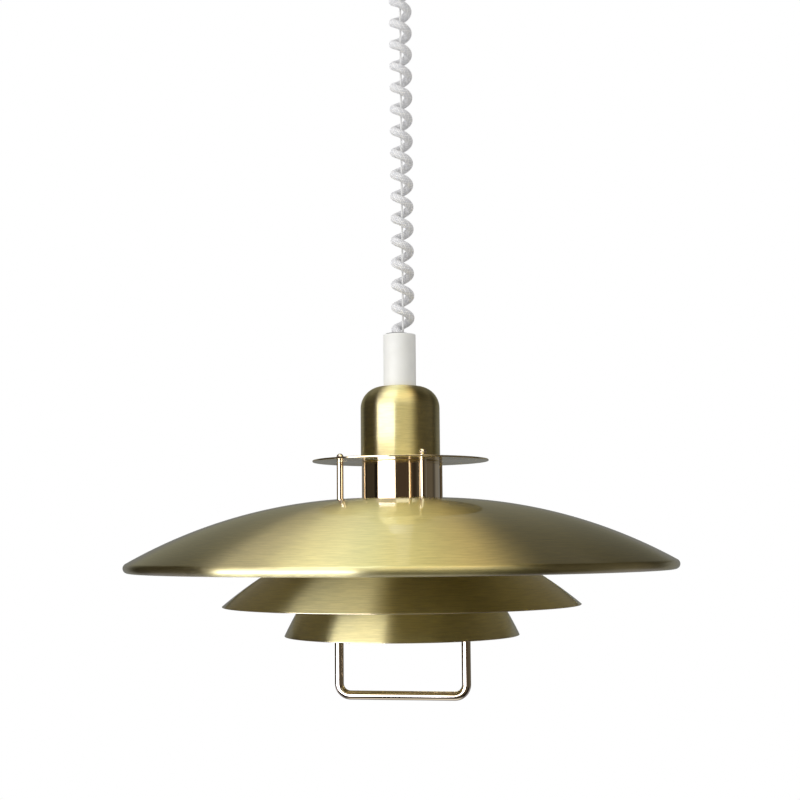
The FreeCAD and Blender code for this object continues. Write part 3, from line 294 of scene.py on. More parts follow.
def new_group(name, inputs, outputs):
    group = bpy.data.node_groups.new(name, "ShaderNodeTree")
    for label, start in inputs:
        socket = group.interface.new_socket(label, in_out="INPUT", socket_type="NodeSocketFloat")
        socket.default_value = start
    for label in outputs:
        group.interface.new_socket(label, in_out="OUTPUT", socket_type="NodeSocketFloat")
    return group, group.nodes.new("NodeGroupInput"), group.nodes.new("NodeGroupOutput")


def use_group(tree, group, **values):
    node = put(tree, "ShaderNodeGroup", node_tree=group)
    for label, value in values.items():
        feed(tree, node.inputs[label.replace("_", " ")], value)
    return node.outputs


# ---------------------------------------------------------------- effects that materials share
def make_spun_marks():
    """Fine marks round the upright axis, as a spinning tool and a satin wheel leave them."""
    group, given, result = new_group("spun_marks", [("Lines", 2600.0), ("Breaks", 60.0)],
                                     ["Height", "Streak", "Patch"])
    spot = put(group, "ShaderNodeTexCoord").outputs["Object"]
    x, y, z = split(group, spot)
    along = calc(group, "MULTIPLY", calc(group, "SUBTRACT", from_axis(group, x, y), z),
                 given.outputs["Lines"])
    across = calc(group, "MULTIPLY", x, given.outputs["Breaks"])
    deep = calc(group, "MULTIPLY", y, given.outputs["Breaks"])
    fine = noise(group, joined(group, along, across, deep), 1.0, 2.0, 0.6)
    broad = calc(group, "MULTIPLY", along, 0.2)
    streak = noise(group, joined(group, broad, across, deep), 1.0, 4.0, 0.65)
    patch = noise(group, spot, 9.0, 3.0, 0.55)
    for label, value in (("Height", fine), ("Streak", streak), ("Patch", patch)):
        feed(group, result.inputs[label], value)
    return group


def make_fine_grain():
    """The small even grain of paint, moulded plastic and cast or zinc plated metal."""
    group, given, result = new_group("fine_grain", [("Size", 1500.0)], ["Height", "Cloud"])
    spot = put(group, "ShaderNodeTexCoord").outputs["Object"]
    scaled = put(group, "ShaderNodeVectorMath", operation="SCALE")
    feed(group, scaled.inputs[0], spot)
    feed(group, scaled.inputs["Scale"], given.outputs["Size"])
    feed(group, result.inputs["Height"], noise(group, scaled.outputs[0], 1.0, 2.0, 0.5))
    feed(group, result.inputs["Cloud"], noise(group, spot, 30.0, 3.0, 0.6))
    return group


def make_braid():
    """A braided cover: strands that cross over and under at a slant, from the tube's corner
    coordinates. Slant is how many strands a straight line along the cord crosses in a metre."""
    group, given, result = new_group("braid", [("Strands", 12.0), ("Slant", 500.0)],
                                     ["Height", "Tone"])
    around, along = split(group, put(group, "ShaderNodeUVMap").outputs[0])[:2]
    turns = calc(group, "MULTIPLY", around, given.outputs["Strands"])
    rise = calc(group, "MULTIPLY", along, given.outputs["Slant"])
    heights, cells = [], []
    for operation in ("ADD", "SUBTRACT"):
        lay = calc(group, operation, turns, rise)
        cells.append(calc(group, "FLOOR", lay))
        heights.append(calc(group, "SINE", calc(group, "MULTIPLY", calc(group, "FRACT", lay),
                                                math.pi)))
    over = calc(group, "PINGPONG", calc(group, "ADD", *cells), 1.0)
    ridge = []
    for mine, crossing in (heights, heights[::-1]):
        bowed = calc(group, "MULTIPLY_ADD", crossing, 0.45, 0.55)
        ridge.append(calc(group, "MULTIPLY", calc(group, "POWER", mine, 0.6), bowed))
    picked = calc(group, "ADD", calc(group, "MULTIPLY", ridge[0], over),
                  calc(group, "MULTIPLY", ridge[1], calc(group, "SUBTRACT", 1.0, over)))
    strand = calc(group, "ADD", calc(group, "MULTIPLY", cells[0], over),
                  calc(group, "MULTIPLY", calc(group, "ADD", cells[1], 37.0),
                       calc(group, "SUBTRACT", 1.0, over)))
    wrapped = calc(group, "WRAP", strand, given.outputs["Strands"], 0.0)
    tone = put(group, "ShaderNodeTexWhiteNoise", noise_dimensions="1D")
    feed(group, tone.inputs["W"], wrapped)
    feed(group, result.inputs["Height"], picked)
    feed(group, result.inputs["Tone"], tone.outputs["Value"])
    return group


spun_marks = make_spun_marks()
fine_grain = make_fine_grain()
braid = make_braid()


# ---------------------------------------------------------------- materials
def new_material(name, colour, rough, metallic=0.0, **sockets):
    material = bpy.data.materials.new(name)
    material.use_nodes = True
    tree = material.node_tree
    shader = tree.nodes["Principled BSDF"]
    shader.inputs["Base Color"].default_value = (*colour, 1.0)
    shader.inputs["Roughness"].default_value = rough
    shader.inputs["Metallic"].default_value = metallic
    for label, value in sockets.items():
        shader.inputs[label.replace("_", " ")].default_value = value
    return material, tree, shader


def raise_surface(tree, shader, height, depth):
    bump = put(tree, "ShaderNodeBump")
    bump.inputs["Strength"].default_value = 1.0
    bump.inputs["Distance"].default_value = depth
    feed(tree, bump.inputs["Height"], height)
    feed(tree, shader.inputs["Normal"], bump.outputs[0])


def tinted(colour, share):
    return (*[min(1.0, part * share) for part in colour], 1.0)


def mottled(tree, shader, mask, colour, darkest, lightest):
    """Lets the base colour drift between two shares of itself."""
    feed(tree, shader.inputs["Base Color"], blended(
        tree, ranged(tree, mask, 0.3, 0.7), tinted(colour, darkest), tinted(colour, lightest)))


def spun_metal(name, colour, rough, coat):
    """Metal with marks round the axis, whose highlights stretch across the marks."""
    material, tree, shader = new_material(
        name, colour, rough, 1.0, Anisotropic=1.0, Anisotropic_Rotation=0.25,
        Coat_Weight=coat, Coat_Roughness=0.03, Coat_IOR=1.5)
    marks = use_group(tree, spun_marks)
    mottled(tree, shader, marks["Streak"], colour, 0.9, 1.08)
    worn = calc(tree, "MULTIPLY_ADD", marks["Patch"], 0.06, rough - 0.03)
    feed(tree, shader.inputs["Roughness"],
         calc(tree, "MULTIPLY_ADD", marks["Streak"], 0.1, calc(tree, "SUBTRACT", worn, 0.05)))
    raise_surface(tree, shader, marks["Height"], 0.000004)
    axis = put(tree, "ShaderNodeTangent", direction_type="RADIAL", axis="Z")
    feed(tree, shader.inputs["Tangent"], axis.outputs[0])
    return material


def polished_metal(name, colour, rough, depth=0.000004):
    material, tree, shader = new_material(name, colour, rough, 1.0)
    grain = use_group(tree, fine_grain, Size=700.0)
    mottled(tree, shader, grain["Cloud"], colour, 0.97, 1.03)
    feed(tree, shader.inputs["Roughness"],
         calc(tree, "MULTIPLY_ADD", grain["Cloud"], 0.05, rough - 0.02))
    raise_surface(tree, shader, grain["Height"], depth)
    return material


def even_surface(name, colour, rough, size=1500.0, depth=0.00002, metallic=0.0, spread=0.04,
                 **sockets):
    """Paint, plastic, rubber, glaze or plated metal: an even colour with a fine grain."""
    material, tree, shader = new_material(name, colour, rough, metallic, **sockets)
    grain = use_group(tree, fine_grain, Size=size)
    mottled(tree, shader, grain["Cloud"], colour, 1 - spread, 1 + spread)
    feed(tree, shader.inputs["Roughness"],
         calc(tree, "MULTIPLY_ADD", grain["Height"], 0.12, rough - 0.06, clamp=True))
    raise_surface(tree, shader, grain["Height"], depth)
    return material


def braided_cover():
    """A pale cover: light and grey threads, with painted shade where they dive under each other.
    """
    light_thread, grey_thread, painted_gap_shade = (0.92, 0.91, 0.91), (0.74, 0.74, 0.76), (0.42, 0.42, 0.44)
    material, tree, shader = new_material("braided_cord_cover", (0.7, 0.69, 0.7), 0.85,
                                          Sheen_Weight=0.25, Sheen_Roughness=0.4)
    woven = use_group(tree, braid, Strands=12.0, Slant=510.0)
    thread = blended(tree, ranged(tree, woven["Tone"], 0.4, 0.8), tinted(light_thread, 1.0),
                     tinted(grey_thread, 1.0))
    high = ranged(tree, woven["Height"], 0.1, 0.7)
    # painted shade: the colour darkens toward the low parts where strands dive under each other
    feed(tree, shader.inputs["Base Color"], blended(tree, high, tinted(painted_gap_shade, 1.0), thread))
    raise_surface(tree, shader, woven["Height"], 0.00025)
    return material


satin_brass = spun_metal("satin_brass", (0.77, 0.67, 0.33), 0.4, 1.0)
cap_brass = spun_metal("cap_brass", (0.77, 0.67, 0.35), 0.36, 0.5)
disc_brass = spun_metal("disc_brass", (0.77, 0.69, 0.4), 0.36, 1.0)
polished_brass = polished_metal("polished_brass", (0.86, 0.72, 0.55), 0.05)
edge_brass = polished_metal("polished_edge", (0.86, 0.74, 0.52), 0.12)
pressed_brass = polished_metal("pressed_brass", (0.78, 0.62, 0.32), 0.25, 0.00001)
white_enamel = even_surface("white_enamel", (0.84, 0.84, 0.82), 0.3, 900.0, 0.00001,
                            Coat_Weight=0.4, Coat_Roughness=0.15)
white_plastic = even_surface("white_plastic", (0.84, 0.84, 0.82), 0.36, 1800.0, 0.00001)
sheath = even_surface("lead_sheath", (0.72, 0.72, 0.7), 0.45, 1500.0, 0.00002)
wire_coating = even_surface("wire_coating", (0.8, 0.8, 0.79), 0.25, 3000.0, 0.00001,
                            Coat_Weight=0.6, Coat_Roughness=0.1)
rubber = even_surface("dark_rubber", (0.03, 0.03, 0.03), 0.7, 2500.0, 0.00004)
thermoset = even_surface("black_thermoset", (0.03, 0.03, 0.03), 0.3, 1500.0, 0.00001)
porcelain = even_surface("glazed_porcelain", (0.82, 0.82, 0.8), 0.15, 500.0, 0.00001,
                         Coat_Weight=0.8, Coat_Roughness=0.05)
drum_plastic = even_surface("drum_plastic", (0.12, 0.12, 0.13), 0.4, 1200.0, 0.00002)
fibre = even_surface("friction_fibre", (0.3, 0.16, 0.09), 0.85, 1800.0, 0.00008, spread=0.2)
zinc = even_surface("zinc_plated_steel", (0.6, 0.61, 0.62), 0.34, 1200.0, 0.00001, 1.0, 0.08)
spring_steel = even_surface("spring_steel", (0.24, 0.26, 0.3), 0.3, 1600.0, 0.00001, 1.0, 0.1)
cord_cover = braided_cover()

CARRIED_OVER = {
    zinc: ["ceiling_bracket", "reel_frame", "reel_axle", "axle_nuts", "axle_spacer",
           "spring_arbor", "frame_screws", "centre_nuts", "centre_washers", "shade_nuts",
           "shade_washers", "handle_washers", "outlet_clamp_screw", "grip_clamp_screw",
           "wire_stop", "centre_tube", "long_studs", "shade_screws", "handle_screws",
           "cup_screws", "core_screws"],
    drum_plastic: ["wire_drum", "drum_cover"],
    fibre: ["brake_washer"],
    spring_steel: ["power_spring"],
    white_plastic: ["outlet_nut", "outlet_clamp_jaws", "grip_plug", "grip_clamp_jaws",
                    "terminal_block", "cord_outlet_bush"],
    rubber: ["grip_gasket"],
    sheath: ["cup_lead", "inner_lead"],
    wire_coating: ["wire_winding"],
    porcelain: ["lampholder_core"],
    pressed_brass: ["lamp_contacts", "terminal_screws"],
    thermoset: ["lampholder_cap"],
}
for material, carried in CARRIED_OVER.items():
    for node in carried:
        mesh = nodes[node].data
        mesh.materials.clear()
        mesh.materials.append(material)


# ---------------------------------------------------------------- camera
def add_camera():
    """The photograph's camera: a little below the lamp's middle, looking slightly up. Its focal
    length is in picture points, of which the picture is 800 wide."""
    focal, picture_wide, sensor_wide = 1380.0, 800.0, 36.0
    distance, level = 1.27, -0.6275
    pitch, roll = math.radians(5.83), math.radians(-0.5)
    camera = bpy.data.cameras.new("camera")
    camera.sensor_fit = "HORIZONTAL"
    camera.sensor_width = sensor_wide
    camera.lens = sensor_wide * focal / picture_wide
    camera.clip_end = 100.0
    eye = bpy.data.objects.new("camera", camera)
    bpy.context.scene.collection.objects.link(eye)
    eye.location = (distance * math.cos(CAMERA_SIDE), distance * math.sin(CAMERA_SIDE), level)
    heading = math.atan2(-eye.location.y, -eye.location.x)
    turn = (Matrix.Rotation(heading - math.pi / 2, 4, "Z")
            @ Matrix.Rotation(math.pi / 2 + pitch, 4, "X")
            @ Matrix.Rotation(roll, 4, "Z"))
    eye.rotation_euler = turn.to_euler()
    bpy.context.scene.camera = eye


add_camera()


# ---------------------------------------------------------------- cords
def nurbs_line(name, points, fineness):
    """The points of a smooth line whose spline has these control points, in metres."""
    curve = bpy.data.curves.new(name, "CURVE")
    curve.dimensions = "3D"
    curve.resolution_u = fineness
    spline = curve.splines.new("NURBS")
    spline.points.add(len(points) - 1)
    for control, spot in zip(spline.points, points):
        control.co = (*spot, 1.0)
    spline.order_u = 3
    spline.use_endpoint_u = True
    holder = bpy.data.objects.new(name, curve)
    bpy.context.scene.collection.objects.link(holder)
    bpy.context.view_layer.update()
    line = bpy.data.meshes.new_from_object(holder)
    spots = [vertex.co.copy() for vertex in line.vertices]
    bpy.data.objects.remove(holder)
    return spots


COIL_LOW, COIL_HIGH, COIL_TURNS, COIL_START, COIL_RADIUS = -433.45, -103.05, 15.7, 215.0, 7.13
WIRE_X = 3.4


def coil_spot(turns):
    """A point of the left-handed coil after a number of turns from the bottom."""
    angle = math.radians(COIL_START) - 2 * math.pi * turns
    height = COIL_LOW + (COIL_HIGH - COIL_LOW) * turns / COIL_TURNS
    return Vector((WIRE_X + COIL_RADIUS * math.cos(angle), COIL_RADIUS * math.sin(angle),
                   height)) * MM


def upright(x, y, levels):
    return [Vector((x, y, z)) * MM for z in levels]


def add_curly_cord():
    """Upright tails in the bush and the grip, and the coil between them, from the top down."""
    per_turn, cut, drawn_radius = 16, 0.04, 0.00385
    count = round(COIL_TURNS * per_turn)
    coil = [coil_spot(cut + (COIL_TURNS - 2 * cut) * i / count) for i in range(count + 1)]
    low = upright(0.11, -7.5, (-464.0, -455.0, -445.5, -435.6))
    high = upright(6.43, -7.61, (-100.9, -91.0, -83.0, -76.0))
    line = nurbs_line("cord_line", (low + coil + high)[::-1], 4)
    points, faces, corners = swept(line, drawn_radius, 24)
    cord = mesh_piece("braided_curly_cord", points, faces, [cord_cover], None,
                      sharp=60, uv=corners)
    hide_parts("curly_cord")
    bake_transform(cord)


def add_suspension_wire():
    levels = (-45.8, -120.0, -200.0, -300.0, -400.0, -454.0)
    line = nurbs_line("wire_line", upright(WIRE_X, 0, levels), 12)
    points, faces, corners = swept(line, 0.0009, 16)
    wire = mesh_piece("coated_suspension_wire", points, faces, [wire_coating], None,
                      sharp=60, uv=corners)
    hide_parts("suspension_wire")
    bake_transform(wire)


add_curly_cord()
add_suspension_wire()


# ---------------------------------------------------------------- spun and turned brass
def on_circle(first, level):
    """The studs' spots, from the side of the first one on."""
    angles = [math.radians(first + 360.0 / STUDS * i) for i in range(STUDS)]
    return [(STUD_CIRCLE * math.cos(a), STUD_CIRCLE * math.sin(a), level) for a in angles]


def fallen(radius, x):
    """How far an arc that starts level at the outer shade's flat top has fallen at x."""
    return radius - math.sqrt(radius ** 2 - (x - OUTER_FLAT) ** 2)


def add_outer_shade():
    """A small flat top, a long curve, and a rim that rolls under."""
    flat, curve, rim, half, hole = OUTER_FLAT, OUTER_CURVE, 4.5, 250.0, 36.15
    rim_x = half - rim
    join_x = (rim_x - rim * flat / curve) / (1 - rim / curve)
    lean = (join_x - flat) / curve
    level = math.sqrt(1 - lean * lean)
    join_z = curve * level - curve
    rim_z = join_z - rim * level
    inner = curve - WALL
    inner_start = -fallen(inner, hole) - WALL
    profile = outline([
        (hole, -fallen(curve, hole), curve, -1), (join_x, join_z, rim, -1), (rim_x, rim_z - rim),
        (rim_x, rim_z - rim + WALL, rim - WALL, 1),
        (join_x - WALL * lean, join_z - WALL * level, inner, 1), (hole, inner_start)])
    add_turned("lamp", "satin_brass", ["outer_shade"], *turned(
        "outer_shade_sheet", raised(profile, OUTER_TOP), 288, satin_brass))


def right_centre(start, end, radius):
    """The centre of an arc that bends to the right."""
    start, end = Vector(start), Vector(end)
    across = end - start
    height = math.sqrt(radius ** 2 - across.length_squared / 4)
    return (start + end) / 2 + Vector((across.y, -across.x)).normalized() * height


def inward(point, centre, radius):
    """The inner face's point across the wall from a point on the outer face."""
    return tuple(centre + (Vector(point) - centre) * ((radius - WALL) / radius))


EDGE_RADIUS = WALL * 0.52


def cut_edge(profile, rim):
    """Picks the outline's edges that go round a shade's cut edge, which is polished."""
    near = [j for j, spot in enumerate(profile)
            if math.hypot(spot[0] - rim[0], spot[1] - rim[1]) < WALL * 1.05]
    return lambda j: near[0] <= j < near[-1]


def add_middle_shade():
    """A level flange over the spacers, and a curved skirt with a rounded cut edge."""
    curve, bore, flange, rim = 340.0, 50.0, (64.0, 0.0), (162.5, -57.9)
    centre = right_centre(flange, rim, curve)
    profile = outline([
        (bore, 0.0), (*flange, curve, -1), (*rim, EDGE_RADIUS, -1),
        (*inward(rim, centre, curve), curve - WALL, 1), inward(flange, centre, curve),
        (bore, -WALL)])
    add_turned("lamp", "satin_brass", ["middle_shade"], *turned(
        "middle_shade_sheet", raised(profile, MIDDLE_TOP), 256, satin_brass,
        lining=edge_brass, lined=cut_edge(profile, rim)))


def add_lower_shade():
    """A level flange, a round shoulder and a curved skirt with a rounded cut edge."""
    shoulder, curve, bore, flange = 40.0, 300.0, 50.0, 62.0
    half, steep = 0.5, math.sqrt(3.0) / 2
    turn = (flange + shoulder * steep, -shoulder * half)
    rim = (106.5, -39.1)
    inner_turn = (flange + (shoulder - WALL) * steep, -shoulder + (shoulder - WALL) * half)
    inner_rim = inward(rim, right_centre(turn, rim, curve), curve)
    profile = outline([
        (bore, 0.0), (flange, 0.0, shoulder, -1), (*turn, curve, -1), (*rim, EDGE_RADIUS, -1),
        (*inner_rim, curve, 1), (*inner_turn, shoulder - WALL, 1), (flange, -WALL),
        (bore, -WALL)])
    add_turned("lamp", "satin_brass", ["lower_shade"], *turned(
        "lower_shade_sheet", raised(profile, LOWER_TOP), 224, satin_brass,
        lining=edge_brass, lined=cut_edge(profile, rim)))


def add_cap():
    outer, bend, high = 36.5, 20.0, 67.9
    profile = outline([
        (TUBE_HOLE, 0.0), (outer - bend, 0.0, bend, -1), (outer, -bend), (outer, -high),
        (outer - WALL, -high), (outer - WALL, -bend, bend - WALL, 1), (outer - bend, -WALL),
        (TUBE_HOLE, -WALL)])
    add_turned("lamp", "satin_brass", ["spun_cap"], *turned(
        "spun_cap_sheet", raised(profile, CAP_TOP), 160, cap_brass))


def add_collar():
    """A flat disc whose rim is polished."""
    outer, edge, thick = 81.0, 0.4, COLLAR_TOP - COLLAR_LOW
    profile = outline([
        (TUBE_HOLE, -thick), (outer - edge, -thick, edge, 1), (outer, edge - thick),
        (outer, -edge, edge, 1), (outer - edge, 0.0), (TUBE_HOLE, 0.0)])
    rim = [j for j, spot in enumerate(profile) if spot[0] > outer - edge - 0.001]
    add_turned("lamp", "collar_brass", ["collar_disc"], *turned(
        "collar_disc_sheet", raised(profile, COLLAR_TOP), 224, disc_brass,
        lining=edge_brass, lined=lambda j: rim[0] <= j < rim[-1]))


def add_sleeve():
    outer, high, edge = 35.75, 42.0, 0.6
    profile = outline([
        (TUBE_HOLE, 0.0), (outer - edge, 0.0, edge, -1), (outer, -edge), (outer, -high),
        (outer - WALL, -high), (outer - WALL, -WALL), (TUBE_HOLE, -WALL)])
    add_turned("lamp", "polished_brass", ["polished_sleeve"], *turned(
        "polished_sleeve_tube", raised(profile, COLLAR_LOW), 160, polished_brass))


def add_spacers():
    """Tubes over the studs and screws, each with a small chamfer at its ends. The upper ones,
    which show, are polished."""
    def tube(name, node, top, low, first, material, slot):
        outer, bore, edge = SPACER_RADIUS, 2.1, 0.3
        profile = outline([
            (bore, low), (outer - edge, low), (outer, low + edge), (outer, top - edge),
            (outer - edge, top), (bore, top)])
        add_turned("lamp", slot, [node], *turned(name, profile, 40, material,
                                                 spots=on_circle(first, 0.0)))

    on_top = OUTER_TOP - fallen(OUTER_CURVE, STUD_CIRCLE - SPACER_RADIUS)
    below = OUTER_TOP - fallen(OUTER_CURVE, STUD_CIRCLE + SPACER_RADIUS) - WALL * 1.01
    tube("upper_spacer_tubes", "upper_spacers", COLLAR_LOW, on_top, FIRST_STUD,
         polished_brass, "polished_brass")
    tube("middle_spacer_tubes", "middle_spacers", below, MIDDLE_TOP, FIRST_STUD,
         zinc, "zinc_steel")
    tube("lower_spacer_tubes", "lower_spacers", MIDDLE_TOP - WALL, LOWER_TOP, FIRST_SCREW,
         zinc, "zinc_steel")


def add_dome_nuts():
    """A short neck and a ball."""
    radius, high, edge = 3.3, 7.2, 0.3
    neck, ball = radius * 0.86, high - radius
    shoulder = ball - math.sqrt(radius ** 2 - neck ** 2)
    profile = outline([
        (0.0, 0.0), (neck - edge, 0.0), (neck, edge), (neck, shoulder, radius, 1),
        (radius, ball, radius, 1), (0.0, high)], step=1.0)
    add_turned("lamp", "polished_brass", ["dome_nuts"], *turned(
        "dome_nut_balls", profile, 40, polished_brass,
        spots=on_circle(FIRST_STUD, COLLAR_TOP)))


def add_handle():
    """One bent rod: two legs, two round corners and the bar."""
    half, drop, bend, radius = 58.5, -93.0, 10.5, 4.1
    line = [(-half, 0.0), (-half, drop / 2), (-half, drop + bend)]
    line += arc_points((-half, drop + bend), (bend - half, drop), bend, 1, 1.0)
    line += [(x, drop) for x in (-30.0, 0.0, 30.0, half - bend)]
    line += arc_points((half - bend, drop), (half, drop + bend), bend, 1, 1.0)
    line += [(half, drop / 2), (half, 0.0)]
    points, faces, corners = swept(
        [Vector((x, 0, z + HANDLE_TOP)) * MM for x, z in line], radius * MM, 40)
    handle = mesh_piece("bent_handle_rod", points, faces, [polished_brass], "lamp",
                        uv=corners)
    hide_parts("handle")


add_outer_shade()
add_middle_shade()
add_lower_shade()
add_cap()
add_collar()
add_sleeve()
add_spacers()
add_dome_nuts()
add_handle()


# ---------------------------------------------------------------- plastic and painted pieces
def add_grip():
    """A cylinder with a stepped bore for the plug and the jaws, on the tube's thread."""
    outer, mouth, bore, seat, edge, tube = 15.0, 12.8, 11.3, 10.3, 0.8, 5.05
    low, floor, plug, jaws = -48.6, -35.6, -10.0, -27.0
    profile = outline([
        (tube, low), (outer - edge, low, edge, 1), (outer, low + edge), (outer, -edge, edge, 1),
        (outer - edge, 0.0), (mouth, 0.0), (mouth, plug), (bore, plug), (bore, jaws),
        (seat, jaws), (seat, floor), (tube, floor)])
    add_turned("lamp", "white_plastic", ["grip_housing"], *turned(
        "grip_cylinder", raised(profile, GRIP_TOP), 96, white_plastic))


def add_cup():
    """A deep cup. Its hole lies off the axis, so the floor's points move over toward it."""
    outer, wall, bend, low, edge = 59.0, 1.6, 9.0, CUP_FLOOR, 0.3
    hole, hole_x, hole_y, moved = 10.1, 5.0, -3.5, 25.0
    profile = outline([
        (hole, low), (outer - bend, low, bend, 1), (outer, low + bend), (outer, -edge),
        (outer - edge, 0.0), (outer - wall, 0.0), (outer - wall, low + bend, bend - wall, -1),
        (outer - bend, low + wall), (hole, low + wall)])
    points, faces = turned_mesh(profile, 160, (0.0, 0.0, 0.0))
    shifted = []
    for x, y, z in points:
        share = max(0.0, 1.0 - (math.hypot(x, y) / MM - hole) / moved)
        shifted.append((x + hole_x * MM * share, y + hole_y * MM * share, z))
    cup = mesh_piece("ceiling_cup_shell", shifted, faces, [white_enamel], "ceiling_unit")
    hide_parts("ceiling_cup")


def add_skirt():
    """The lampholder's skirt, with finger ribs that run out at both ends."""
    deep, ribs, groove_deep, outside = 38.0, 36, 0.35, 17.5
    first, last, run_out = -4.0, -33.0, 3.0
    profile = outline([
        (16.6, 5.0), (18.2, 5.0), (18.2, 0.0), (20.0, 0.0), (18.6, 2 - deep),
        (17.8, -deep), (15.2, -deep), (15.2, -2.0), (16.6, -2.0)], step=1.0)
    points, faces = turned_mesh(profile, ribs * 4, (0, 0, SKIRT_TOP))
    ribbed = []
    for x, y, z in points:
        out, level = math.hypot(x, y), z / MM - SKIRT_TOP
        share = (min(1.0, max(0.0, (first - level) / run_out))
                 * min(1.0, max(0.0, (level - last) / run_out)))
        groove = groove_deep * share * max(0.0, math.cos(math.atan2(y, x) * ribs))
        scale = (out - groove * MM) / out if out > outside * MM else 1.0
        ribbed.append((x * scale, y * scale, z))
    skirt = mesh_piece("lampholder_ribbed_skirt", ribbed, faces, [thermoset], "lamp",
                       sharp=50)
    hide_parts("lampholder_skirt")


def add_thread_shell():
    """A thin shell with the round E27 thread, which eases out at both ends."""
    pitch, top, long, sides, rows = 3.63, SKIRT_TOP - 9.0, 22.0, 72, 80
    middle, wave_high, thick, eased = 13.95, 0.5, 0.35, 2
    verts, sheet = [], []
    for wall in (0.0, thick):
        for i in range(rows + 1):
            level = long * i / rows
            for s in range(sides):
                angle = 2 * math.pi * s / sides
                wave = math.cos(2 * math.pi * level / pitch - angle)
                ease = min(1.0, level / eased, (long - level) / eased)
                radius = (middle + wave_high * wave * ease + wall) * MM
                verts.append((radius * math.cos(angle), radius * math.sin(angle),
                              (top - level) * MM))
    layer, last = (rows + 1) * sides, rows * sides
    for quad in ring_faces(rows, sides):
        sheet.append(quad)
        sheet.append([layer + index for index in quad[::-1]])
    for s in range(sides):
        t = (s + 1) % sides
        sheet.append([t, s, layer + s, layer + t])
        sheet.append([last + s, last + t, layer + last + t, layer + last + s])
    shell = mesh_piece("round_thread_shell", verts, sheet, [pressed_brass], "lamp",
                       sharp=60)
    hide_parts("thread_shell")


add_grip()
add_cup()
add_skirt()
add_thread_shell()


# ---------------------------------------------------------------- studio
def add_floor():
    """A plain pale floor that stays white for the camera and keeps the lamp's soft shadow."""
    level, reach, steps = -1.75, 3.5, 96
    plain_near, white_far, near_share = 0.6, 3.2, 0.35
    angles = [2 * math.pi * i / steps for i in range(steps)]
    points = [(0.0, 0.0, level)]
    points += [(reach * math.cos(a), reach * math.sin(a), level) for a in angles]
    faces = [[0, i + 1, (i + 1) % steps + 1] for i in range(steps)]
    material, tree, shader = new_material("pale_floor", (0.8, 0.8, 0.79), 0.9)
    x, y = split(tree, put(tree, "ShaderNodeTexCoord").outputs["Object"])[:2]
    white = put(tree, "ShaderNodeEmission")
    white.inputs["Strength"].default_value = 1.0
    mix = put(tree, "ShaderNodeMixShader")
    share = calc(tree, "MULTIPLY", seen_straight(tree),
                 ranged(tree, from_axis(tree, x, y), plain_near, white_far, near_share, 1.0))
    feed(tree, mix.inputs[0], share)
    tree.links.new(shader.outputs[0], mix.inputs[1])
    tree.links.new(white.outputs[0], mix.inputs[2])
    tree.links.new(mix.outputs[0], tree.nodes["Material Output"].inputs["Surface"])
    floor = mesh_piece("floor", points, faces, [material], None)


